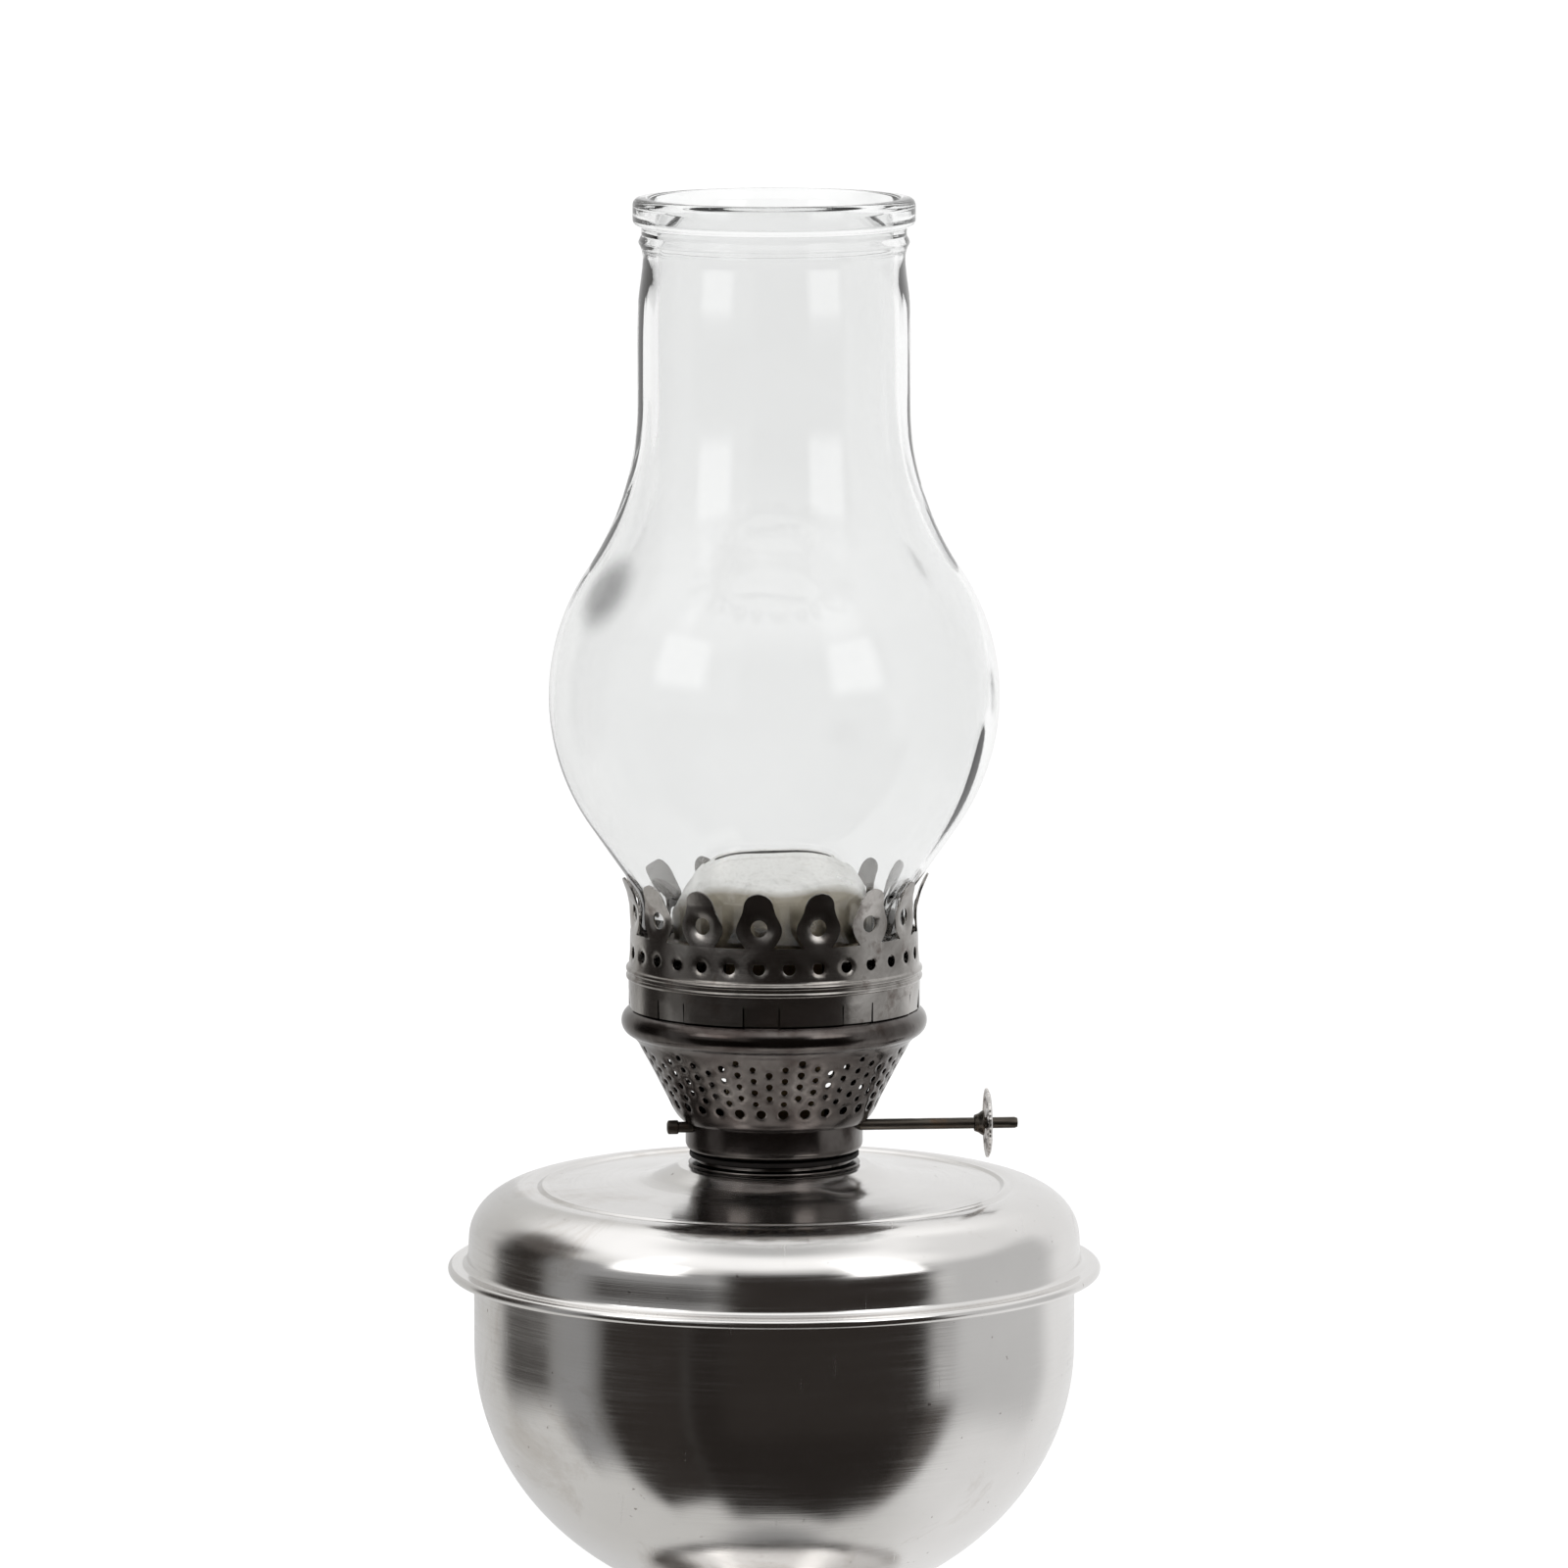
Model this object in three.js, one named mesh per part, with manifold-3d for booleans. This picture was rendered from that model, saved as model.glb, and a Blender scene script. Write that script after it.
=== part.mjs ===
// A table kerosene lamp: a spun-metal pedestal and font (fuel bowl), a screwed-in flat-wick burner with
// a perforated air basket, a pronged gallery with a slotted flame deflector, and a glass chimney.
// Millimetres, +Z up. The origin is on the lamp's axis in the plane the foot stands on, and the wick
// spindle runs along +X towards its thumbwheel.
import * as THREE from 'three';
import { mergeVertices } from 'three/addons/utils/BufferGeometryUtils.js';
import Module from 'manifold-3d';

const wasm = await Module();
wasm.setup();

// ---------------------------------------------------------------- driving dimensions
const GAP = 0.4; // between pieces that are soldered, crimped or screwed together
const FONT_SHEET = 0.7;
const BURNER_SHEET = 0.6;

const SEAM_Z = 165; // upper face of the seam flange that joins the font's two shells
const FONT_R = 85.8;
const SHOULDER_R = 87.2; // of the upper shell, which stands a little over the bowl
const FLANGE_R = 93.2;
const BOWL_WALL = 23.4; // straight wall between the seam and the round bottom
const BOWL_DEPTH = 76.1; // depth of that round bottom

const COLLAR_Z = SEAM_Z + 28.4; // flat top of the font's boss, which carries the threaded collar
const COLLAR_BORE_R = 20.4;
const BURNER_Z = SEAM_Z + 32.6; // underside of the burner's base cup
const BASE_R = 25.3;
const SPINDLE_Z = SEAM_Z + 40.4;
const SPINDLE_Y = -7;
const SPINDLE_R = 1.6;
const RUNNING_R = 2.0; // holes that the spindle turns in
const FIXED_R = SPINDLE_R + 0.3; // bores of the pieces staked onto the spindle

const BASKET_TOP_R = 39.3;
const GALLERY_R = 41.5;
const GALLERY_Z = SEAM_Z + 74.7; // bottom edge of the gallery's skirt
const PRONG_ROOT_Z = SEAM_Z + 96.1;
const PRONG_TIP_Z = SEAM_Z + 112.1;
const PRONGS = 15;
const PRONG_BEARING = THREE.MathUtils.degToRad(-5); // of the first prong, from +X
const SEAT_Z = SEAM_Z + 92.4; // top of the diffuser plate, which the chimney stands on

const DOME_R = 27.8;
const DOME_HEIGHT = 23;
const DOME_SPRING_Z = SEAM_Z + 98.4; // where the dome's straight skirt turns into its crown
const ROOF = { ridge: DOME_SPRING_Z + 20.5, slope: 0.39 }; // the two flats pressed into the crown
const SLOT = { length: 34, width: 7 };

const WICK = { width: 25.4, thick: 3.0, bottom: SEAM_Z - 82, top: SEAM_Z + 109.5 };
const TUBE = { halfWidth: 13.8, halfDepth: 2.7, bottom: SEAM_Z + 24.5, top: SEAM_Z + 108 };

const CHIMNEY = {
  base: SEAT_Z + GAP, baseR: 38.0, bulbZ: SEAM_Z + 163, bulbR: 64.0,
  neckR: 38.7, neckFillet: 85, top: SEAM_Z + 304.5, rimR: 40.0,
  footWall: 2.6, bulbWall: 2.2, neckWall: 5.8,
};

const FOOT = { rimR: 70.4, rimFlatR: 67.2, rollR: 1.8, neckR: 18.2, neckZ: 58.6, sheet: 0.8 };

// Facets round the axis.
const FONT_FACETS = 32;
const CHIMNEY_FACETS = 30;
const BASKET_COLUMNS = 24;
const GALLERY_FACETS = 2 * PRONGS;

// ---------------------------------------------------------------- outlines in the (radius, height) plane
const at = (r, z) => new THREE.Vector2(r, z);

// Points of an arc or ellipse quarter, in degrees counted from +r towards +z.
function arc(centreR, centreZ, radiusR, radiusZ, from, to, steps) {
  return Array.from({ length: steps + 1 }, (_, i) => {
    const angle = THREE.MathUtils.degToRad(from + ((to - from) * i) / steps);
    return at(centreR + radiusR * Math.cos(angle), centreZ + radiusZ * Math.sin(angle));
  });
}

// Each point of an open outline moved to the left of its direction of travel, with mitred corners.
function offset(outline, distance) {
  const normals = outline.slice(1).map((p, i) => {
    const along = p.clone().sub(outline[i]).normalize();
    return at(-along.y, along.x);
  });
  return outline.map((p, i) => {
    const before = normals[Math.max(i - 1, 0)];
    const after = normals[Math.min(i, normals.length - 1)];
    const mitre = before.clone().add(after).normalize();
    const moved = p.clone().addScaledVector(mitre, distance / mitre.dot(after));
    if (p.x === 0) moved.x = 0; // a point on the axis stays there
    return moved;
  });
}

// A sheet whose outside face is the outline, listed so that its metal lies on the left.
const sheet = (outline, thickness) => [...outline, ...offset(outline, thickness).reverse()];

// ---------------------------------------------------------------- geometry and booleans
function revolve(outline, facets) {
  const closed = outline[0].x === 0 && outline.at(-1).x === 0 ? outline : [...outline, outline[0]];
  return new THREE.LatheGeometry(closed, facets).rotateX(Math.PI / 2);
}

function solid(geometry) {
  const bare = geometry.index ? geometry.toNonIndexed() : geometry.clone();
  for (const name of ['normal', 'uv']) bare.deleteAttribute(name);
  const merged = mergeVertices(bare, 1e-4);
  return new wasm.Manifold(new wasm.Mesh({
    numProp: 3,
    vertProperties: merged.attributes.position.array,
    triVerts: new Uint32Array(merged.index.array),
  }));
}

function geometryOf(manifold) {
  const mesh = manifold.getMesh();
  const geometry = new THREE.BufferGeometry();
  geometry.setAttribute('position', new THREE.BufferAttribute(mesh.vertProperties, 3));
  geometry.setIndex(new THREE.BufferAttribute(mesh.triVerts, 1));
  geometry.computeVertexNormals();
  return geometry;
}

function cut(geometry, cutters) {
  const tools = cutters.map(solid);
  return geometryOf(tools.reduce((left, tool) => left.subtract(tool), solid(geometry)));
}

const box = (x, y, z, cx = 0, cy = 0, cz = 0) => new THREE.BoxGeometry(x, y, z).translate(cx, cy, cz);

// A prism of the given number of sides along a direction, centred on a point.
function peg(radius, length, sides, centre, direction) {
  const turn = new THREE.Quaternion().setFromUnitVectors(new THREE.Vector3(0, 1, 0), direction);
  return new THREE.CylinderGeometry(radius, radius, length, sides)
    .applyQuaternion(turn).translate(centre.x, centre.y, centre.z);
}

const ALONG_X = new THREE.Vector3(1, 0, 0);
const ALONG_Z = new THREE.Vector3(0, 0, 1);
const spindleAt = (x) => new THREE.Vector3(x, SPINDLE_Y, SPINDLE_Z);

// A direction square to a wall that leans outwards by the given angle, at a bearing round the axis.
function outward(bearing, lean = 0) {
  return new THREE.Vector3(
    Math.cos(lean) * Math.cos(bearing), Math.cos(lean) * Math.sin(bearing), -Math.sin(lean));
}

const around = (bearing, r, z) => new THREE.Vector3(r * Math.cos(bearing), r * Math.sin(bearing), z);
const ring = (count, make, start = 0) => Array.from(
  { length: count }, (_, i) => make(start + (2 * Math.PI * i) / count, i));

// A flat tube or ribbon outline with round ends, wider along X.
function stadium(shape, halfWidth, halfDepth) {
  const middle = halfWidth - halfDepth;
  shape.moveTo(-middle, -halfDepth);
  shape.absarc(middle, 0, halfDepth, -Math.PI / 2, Math.PI / 2, false);
  shape.absarc(-middle, 0, halfDepth, Math.PI / 2, (3 * Math.PI) / 2, false);
  return shape;
}

const extrude = (shape, depth, curveSegments = 3) => new THREE.ExtrudeGeometry(
  shape, { depth, bevelEnabled: false, curveSegments });

// ---------------------------------------------------------------- pedestal
// A trumpet foot, open underneath, with its edge rolled into the flat ring that it stands on.
function footShell() {
  const flare = new THREE.CubicBezierCurve(at(61, 13.5), at(38, 18), at(22, 32), at(FOOT.neckR, FOOT.neckZ));
  return revolve(sheet([
    at(FOOT.rimFlatR, 0),
    ...arc(FOOT.rimR, FOOT.rollR, FOOT.rollR, FOOT.rollR, -90, 60, 2),
    at(68.6, 4.4),
    at(66.4, 9.2),
    ...flare.getPoints(5),
  ], FOOT.sheet), FONT_FACETS);
}

// The knop that spreads the bowl's weight onto the foot's neck. Its top is dished to the bowl.
function stemRing() {
  return revolve([
    at(13, 59), at(19.5, 59), at(23.4, 60.8), at(24.8, 63.6), at(23.8, 66.2), at(21.6, 67.2), at(13, 65.9),
  ], FONT_FACETS);
}

const fontStud = () => peg(4, 27, 12, new THREE.Vector3(0, 0, 51.6), ALONG_Z);

function footWasher() {
  return revolve([at(4.5, 46), at(19.2, 46), at(17.9, 47.6), at(4.5, 47.6)], 24);
}

const footNut = () => cut(
  peg(8, 6, 6, new THREE.Vector3(0, 0, 42.6), ALONG_Z),
  [peg(4.3, 8, 12, new THREE.Vector3(0, 0, 42.6), ALONG_Z)]);

// ---------------------------------------------------------------- font
function fontBowl() {
  const wallBottom = SEAM_Z - BOWL_WALL;
  const flange = SEAM_Z - FONT_SHEET - GAP - FONT_SHEET; // underside of the bowl's own flange
  return revolve(sheet([
    ...arc(0, wallBottom, FONT_R, BOWL_DEPTH, -90, 0, 8).map((p, i) => (i ? p : at(0, p.y))),
    at(FONT_R, flange),
    at(FLANGE_R - FONT_SHEET - GAP, flange),
  ], FONT_SHEET), FONT_FACETS);
}

// The upper shell: its edge is hemmed round the bowl's flange, then a round shoulder, a fine ridge,
// a slightly coned deck, and a boss that rises to the collar.
function fontTop() {
  const hem = SEAM_Z - 4 * FONT_SHEET; // underside of the turned-in hem
  const shoulder = { wide: 17.8, high: 14.8, z: SEAM_Z + 7.4 };
  return revolve(sheet([
    at(88.6, hem),
    at(FLANGE_R, hem),
    at(FLANGE_R, SEAM_Z),
    at(SHOULDER_R, SEAM_Z),
    ...arc(SHOULDER_R - shoulder.wide, shoulder.z, shoulder.wide, shoulder.high, 0, 90, 4),
    at(67.6, SEAM_Z + 21.6),
    at(66, SEAM_Z + 22.6),
    at(64.4, SEAM_Z + 21.8),
    at(39, SEAM_Z + 24.6),
    at(33, SEAM_Z + 25.8),
    at(27.4, COLLAR_Z),
    at(22.4, COLLAR_Z),
  ], FONT_SHEET), FONT_FACETS);
}

function fontCollar() {
  const outerR = 21.9;
  const brimR = 24.6;
  const brim = COLLAR_Z + GAP;
  const brimThick = 0.6;
  const top = COLLAR_Z + 2.2;
  return revolve([
    at(COLLAR_BORE_R, SEAM_Z + 21.5), at(outerR, SEAM_Z + 21.5),
    at(outerR, brim), at(brimR, brim), at(brimR, brim + brimThick), at(outerR, brim + brimThick),
    at(outerR, top), at(COLLAR_BORE_R, top),
  ], FONT_FACETS);
}

const collarGasket = () => revolve([
  at(20.8, COLLAR_Z + 2.5), at(24.2, COLLAR_Z + 2.5), at(24.2, BURNER_Z - 0.3), at(20.8, BURNER_Z - 0.3),
], FONT_FACETS);

// ---------------------------------------------------------------- burner body
// The cup that the basket, wick tube and spindle housing are fixed to, with the sleeve that screws
// into the collar. The thread itself is left plain, with running clearance.
function burnerBase() {
  const sleeveR = COLLAR_BORE_R - 0.3;
  const wall = 0.8;
  const cup = revolve([
    at(0, BURNER_Z),
    at(sleeveR - wall, BURNER_Z),
    at(sleeveR - wall, SEAM_Z + 23),
    at(sleeveR, SEAM_Z + 23),
    at(sleeveR, BURNER_Z),
    ...arc(BASE_R - 2.5, BURNER_Z + 2.5, 2.5, 2.5, -90, 0, 2),
    at(BASE_R, BURNER_Z + 11),
    at(BASE_R - wall, BURNER_Z + 11),
    at(BASE_R - wall, BURNER_Z + 2.8),
    at(BASE_R - 2.7, BURNER_Z + wall),
    at(0, BURNER_Z + wall),
  ], FONT_FACETS);
  return cut(cup, [
    box(2 * (TUBE.halfWidth + GAP), 2 * (TUBE.halfDepth + GAP), 4, 0, 0, BURNER_Z),
    peg(2.4, 4, 8, new THREE.Vector3(0, 10, BURNER_Z), ALONG_Z),
    peg(RUNNING_R, 4 * BASE_R, 8, spindleAt(0), ALONG_X),
  ]);
}

// The perforated air basket, with the round bead that the gallery stands on and the collar that it
// slides over. Every column of holes sits on its own facet.
function burnerBasket() {
  const coneBottom = at(29.2, SEAM_Z + 44.7);
  const coneTop = at(BASKET_TOP_R, SEAM_Z + 64.6);
  const shell = revolve(sheet([
    at(26.2, SEAM_Z + 41.4),
    at(27.6, SEAM_Z + 42.8),
    coneBottom,
    coneTop,
    ...arc(39.4, SEAM_Z + 70, 4.2, 4.2, -75, 75, 4),
    at(40.3, SEAM_Z + 75),
    at(40.3, SEAM_Z + 80.5),
  ], BURNER_SHEET), BASKET_COLUMNS);
  const lean = Math.atan2(coneTop.x - coneBottom.x, coneTop.y - coneBottom.y);
  const radiusAt = (z) => coneBottom.x + (z - coneBottom.y) * Math.tan(lean);
  const rowPitch = 4.9;
  const perforations = [];
  ring(BASKET_COLUMNS, (bearing, column) => {
    const staggered = column % 2 === 1;
    const topRow = SEAM_Z + 62.2 - (staggered ? rowPitch / 2 : 0);
    for (let row = 0; row < 3; row += 1) {
      const z = topRow - row * rowPitch;
      perforations.push(peg(1.25, 3, 4, around(bearing, radiusAt(z), z), outward(bearing, lean)));
    }
    if (!staggered) {
      const z = SEAM_Z + 47.2;
      perforations.push(peg(1.6, 3, 5, around(bearing, radiusAt(z), z), outward(bearing, lean)));
    }
  }, Math.PI / BASKET_COLUMNS);
  const spindleHole = peg(RUNNING_R, 4 * BASE_R, 8, spindleAt(0), ALONG_X);
  return cut(shell, [...perforations, spindleHole]);
}

function wickTube() {
  const outline = stadium(new THREE.Shape(), TUBE.halfWidth, TUBE.halfDepth);
  outline.holes.push(stadium(new THREE.Path(), TUBE.halfWidth - 0.6, TUBE.halfDepth - 0.6));
  const tube = extrude(outline, TUBE.top - TUBE.bottom).translate(0, 0, TUBE.bottom);
  return cut(tube, SPUR_X.map((x) => box(1.8, 2.6, 9, x, -TUBE.halfDepth, SPINDLE_Z)));
}

// The sheet box, open towards the wick tube, that the spur wheels run in.
function spindleHousing() {
  const outer = { x: 26.4, y: 10.1, z: 13.2 };
  const middleY = -TUBE.halfDepth - GAP - outer.y / 2;
  const wall = 0.6;
  return cut(box(outer.x, outer.y, outer.z, 0, middleY, SPINDLE_Z), [
    box(outer.x - 2 * wall, outer.y, outer.z - 2 * wall, 0, middleY + wall, SPINDLE_Z),
    peg(RUNNING_R, 2 * outer.x, 8, spindleAt(0), ALONG_X),
  ]);
}

const ventTube = () => revolve([
  at(1.4, SEAM_Z + 28), at(2, SEAM_Z + 28), at(2, SEAM_Z + 62), at(1.4, SEAM_Z + 62),
], 10).translate(0, 10, 0);

// ---------------------------------------------------------------- wick and its raiser
const SPUR_X = [-8, 0, 8];
const THUMBWHEEL = { x: 60.6, radius: 9.9, thick: 1.8 };

const wick = () => extrude(
  stadium(new THREE.Shape(), WICK.width / 2, WICK.thick / 2), WICK.top - WICK.bottom, 2)
  .translate(0, 0, WICK.bottom);

// A revolved piece laid along the spindle's axis: its outline is (radius, distance along +X).
const alongSpindle = (outline, facets) => revolve(outline, facets)
  .rotateY(Math.PI / 2).translate(0, SPINDLE_Y, SPINDLE_Z);

const spindle = () => alongSpindle([
  at(0, -31.2), at(1.5, -31.2), at(2.1, -30.5), at(2.1, -28), at(SPINDLE_R, -28),
  at(SPINDLE_R, 68.4), at(1.0, 69.2), at(0, 69.2),
], 12);

function spurWheel(x) {
  const teeth = 10;
  const tipR = 5.2;
  const rootR = 3.6;
  const thick = 0.9;
  const star = new THREE.Shape(Array.from({ length: 2 * teeth }, (_, i) => {
    const angle = (Math.PI * i) / teeth;
    const r = i % 2 ? rootR : tipR;
    return at(r * Math.cos(angle), r * Math.sin(angle));
  }));
  star.holes.push(new THREE.Path().absarc(0, 0, FIXED_R, 0, 2 * Math.PI));
  return extrude(star, thick, 6).rotateY(Math.PI / 2).translate(x - thick / 2, SPINDLE_Y, SPINDLE_Z);
}

function thumbwheel() {
  const { x, radius, thick } = THUMBWHEEL;
  const disc = alongSpindle([
    at(FIXED_R, x - thick / 2), at(radius - 0.4, x - thick / 2), at(radius, x),
    at(radius - 0.4, x + thick / 2), at(FIXED_R, x + thick / 2),
  ], 24);
  const holes = ring(6, (bearing) => peg(2, 3 * thick, 8, spindleAt(x).add(
    new THREE.Vector3(0, 6.1 * Math.cos(bearing), 6.1 * Math.sin(bearing))), ALONG_X));
  return cut(disc, holes);
}

function thumbwheelHub() {
  const face = THUMBWHEEL.x - THUMBWHEEL.thick / 2 - 0.3;
  return alongSpindle([at(FIXED_R, face - 2.8), at(2.4, face - 2.8), at(3.6, face), at(FIXED_R, face)], 12);
}

// ---------------------------------------------------------------- gallery, diffuser and deflector
// Half the width of a prong at each height above its root: a narrow root, a wide ear and a round tip.
const PRONG_OUTLINE = [[-0.1, 3.9], [3.8, 6.5], [6.6, 6.3], [10.4, 4.3], [14, 3.4], [15.8, 1.6]];

function galleryRing() {
  const beadR = 0.8;
  const bead = (z) => arc(GALLERY_R - 0.2, SEAM_Z + z, beadR, beadR, -60, 60, 1);
  const shell = revolve(sheet([
    at(GALLERY_R, GALLERY_Z),
    ...bead(82.9),
    ...bead(85.1),
    at(GALLERY_R, SEAM_Z + 87),
    at(GALLERY_R + 0.2, SEAM_Z + 103),
    at(GALLERY_R + 2.1, PRONG_TIP_Z),
  ], BURNER_SHEET), GALLERY_FACETS);

  const halfPitch = (Math.PI * GALLERY_R) / PRONGS;
  const side = PRONG_OUTLINE.map(([z, half]) => at(halfPitch - half, z));
  const gapShape = new THREE.Shape([
    ...side, at(halfPitch, 19), at(-halfPitch, 19),
    ...side.map((p) => at(-p.x, p.y)).reverse(),
  ]);
  const gaps = ring(PRONGS, (bearing) => extrude(gapShape, 8)
    .rotateX(Math.PI / 2).rotateZ(Math.PI / 2)
    .translate(GALLERY_R - 4, 0, PRONG_ROOT_Z).rotateZ(bearing), Math.PI / PRONGS);
  const radial = (bearing, z, r, sides) => peg(r, 6, sides, around(bearing, GALLERY_R, z), outward(bearing));
  const prongHoles = ring(PRONGS, (bearing) => radial(bearing, PRONG_ROOT_Z + 5.7, 2.4, 6));
  const airHoles = ring(2 * PRONGS, (bearing) => radial(bearing, SEAM_Z + 90.4, 1.9, 4));

  const tongues = 9;
  const slit = (bearing) => box(4, 0.5, 5.6, GALLERY_R, 0, GALLERY_Z + 2.6).rotateZ(bearing);
  const tongueHalf = THREE.MathUtils.degToRad(7);
  const tongueStart = THREE.MathUtils.degToRad(25);
  const slits = ring(
    tongues, (bearing) => [slit(bearing - tongueHalf), slit(bearing + tongueHalf)], tongueStart).flat();
  return cut(shell, [...gaps, ...prongHoles, ...airHoles, ...slits]).rotateZ(PRONG_BEARING);
}

// The perforated plate crimped inside the gallery: the chimney and the deflector stand on it, and the
// wick tube comes up through it.
function diffuserPlate() {
  const thick = 0.8;
  const plate = revolve([
    at(0, SEAT_Z - thick), at(40.5, SEAT_Z - thick), at(40.5, SEAT_Z), at(0, SEAT_Z),
  ], FONT_FACETS);
  const hole = (r, atR) => (bearing) => peg(r, 4, 5, around(bearing, atR, SEAT_Z), ALONG_Z);
  return cut(plate, [
    box(2 * TUBE.halfWidth + 1.4, 2 * TUBE.halfDepth + 2, 4, 0, 0, SEAT_Z),
    ...ring(18, hole(1.6, 33.4)),
    ...ring(12, hole(1.8, 20.5)),
  ]);
}

// The flame deflector: an elliptical dome whose crown is pressed into two flat slopes that meet at
// the wick slot.
function deflectorDome() {
  const skirt = SEAT_Z + 1.0;
  const domeBody = (grow) => solid(revolve([
    at(0, skirt - 0.6 - 2 * (grow < 0)),
    at(DOME_R + grow, skirt - 0.6 - 2 * (grow < 0)),
    ...arc(0, DOME_SPRING_Z, DOME_R + grow, DOME_HEIGHT + grow, 0, 90, 6)
      .map((p, i) => (i === 6 ? at(0, p.y) : p)),
  ], 30));
  const reach = 45;
  const roof = (drop) => {
    const ridge = ROOF.ridge - drop;
    const half = SLOT.width / 2;
    const eaves = ridge - ROOF.slope * (reach - half);
    const gable = new THREE.Shape([
      at(-reach, SEAT_Z - 5), at(reach, SEAT_Z - 5), at(reach, eaves), at(half, ridge), at(-half, ridge),
      at(-reach, eaves),
    ]);
    return solid(extrude(gable, 2 * reach).rotateX(Math.PI / 2).rotateZ(Math.PI / 2)
      .translate(-reach, 0, 0));
  };
  const outer = domeBody(0).intersect(roof(0));
  const inner = domeBody(-BURNER_SHEET).intersect(roof(BURNER_SHEET * Math.hypot(1, ROOF.slope)));
  const foot = solid(revolve([
    at(DOME_R - BURNER_SHEET, skirt - 0.6), at(30.3, skirt - 0.6), at(30.3, skirt),
    at(DOME_R - BURNER_SHEET, skirt),
  ], 30));
  const slot = solid(box(SLOT.length, SLOT.width, 40, 0, 0, DOME_SPRING_Z + DOME_HEIGHT));
  return geometryOf(outer.subtract(inner).add(foot).subtract(slot));
}

// ---------------------------------------------------------------- chimney
// One face of the glass from the base to the neck: a straight foot, a fillet, a cone tangent to the
// round bulb, the bulb, and a long fillet into the neck.
function chimneyFace(baseR, bulbR, neckR, steps) {
  const { bulbZ, neckFillet } = CHIMNEY;
  const leanDeg = 35; // of the cone below the bulb
  const lean = THREE.MathUtils.degToRad(leanDeg);
  const footFillet = 14;
  const joinR = bulbR * Math.cos(lean);
  const joinZ = bulbZ - bulbR * Math.sin(lean);
  const cornerZ = joinZ - (joinR - baseR) / Math.tan(lean);
  const footZ = cornerZ - footFillet * Math.tan(lean / 2);
  const rise = Math.acos((neckR + neckFillet) / (bulbR + neckFillet));
  const riseDeg = THREE.MathUtils.radToDeg(rise);
  const neckZ = bulbZ + (bulbR + neckFillet) * Math.sin(rise);
  const footCurve = arc(
    baseR + footFillet, footZ, footFillet, footFillet, 180, 180 - leanDeg, Math.ceil(steps / 4));
  const bulb = arc(0, bulbZ, bulbR, bulbR, -leanDeg, riseDeg, steps);
  const neck = arc(
    neckR + neckFillet, neckZ, neckFillet, neckFillet, 180 + riseDeg, 180, Math.ceil(steps / 2));
  return [...footCurve, ...bulb, ...neck.slice(1)];
}

function chimneyGlass() {
  const { base, baseR, bulbR, neckR, top, rimR, footWall, bulbWall, neckWall } = CHIMNEY;
  const outer = chimneyFace(baseR, bulbR, neckR, 7);
  const inner = chimneyFace(baseR - footWall, bulbR - bulbWall, neckR - neckWall, 5);
  const waist = top - 17; // the slight waist under the rim
  return revolve([
    at(baseR, base),
    ...outer,
    at(neckR, waist - 20),
    at(neckR - 1.6, waist),
    at(neckR - 0.4, waist + 4.2),
    at(neckR - 1.1, waist + 5.8),
    at(neckR - 1.1, top - 8.6),
    at(rimR, top - 7.2),
    at(rimR, top - 1.6),
    at(rimR - 1.6, top),
    at(neckR - 3.4, top),
    at(neckR - 4.6, top - 2.4),
    at(neckR - neckWall, top - 14),
    ...inner.reverse(),
    at(baseR - footWall, base),
  ], CHIMNEY_FACETS);
}

// ---------------------------------------------------------------- materials and assembly
const finish = (color, roughness, metalness, extra = {}) => new THREE.MeshStandardMaterial(
  { color, roughness, metalness, ...extra });
const FONT_METAL = finish(0xc6c3bf, 0.22, 1.0);
const BURNER_METAL = finish(0x6e6963, 0.38, 1.0);
const DOME_METAL = finish(0xa9a497, 0.35, 1.0);
const BRASS = finish(0x9a7f4e, 0.4, 1.0);
const STEEL = finish(0x4a453f, 0.45, 1.0);
const WHEEL_METAL = finish(0xa7a39d, 0.3, 1.0);
const COTTON = finish(0xd9d1bb, 0.95, 0.0);
const GASKET = finish(0x17130f, 0.8, 0.0);
const GLASS = finish(0xeef2f1, 0.05, 0.0, { transparent: true, opacity: 0.3 });

function add(group, name, geometry, material) {
  const mesh = new THREE.Mesh(geometry, material);
  mesh.name = name;
  group.add(mesh);
}

const lamp = new THREE.Group();

const font = new THREE.Group();
add(font, 'foot_shell', footShell(), FONT_METAL);
add(font, 'stem_ring', stemRing(), FONT_METAL);
add(font, 'font_stud', fontStud(), STEEL);
add(font, 'foot_washer', footWasher(), STEEL);
add(font, 'foot_nut', footNut(), STEEL);
add(font, 'font_bowl', fontBowl(), FONT_METAL);
add(font, 'font_top', fontTop(), FONT_METAL);
add(font, 'font_collar', fontCollar(), BURNER_METAL);
add(font, 'collar_gasket', collarGasket(), GASKET);

const burner = new THREE.Group();
add(burner, 'burner_base', burnerBase(), BURNER_METAL);
add(burner, 'burner_basket', burnerBasket(), BURNER_METAL);
add(burner, 'wick_tube', wickTube(), BRASS);
add(burner, 'spindle_housing', spindleHousing(), BRASS);
add(burner, 'vent_tube', ventTube(), BRASS);
add(burner, 'wick', wick(), COTTON);

const raiser = new THREE.Group();
add(raiser, 'spindle', spindle(), STEEL);
['left', 'middle', 'right'].forEach((place, i) => {
  add(raiser, `spur_wheel_${place}`, spurWheel(SPUR_X[i]), STEEL);
});
add(raiser, 'thumbwheel', thumbwheel(), WHEEL_METAL);
add(raiser, 'thumbwheel_hub', thumbwheelHub(), STEEL);

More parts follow.
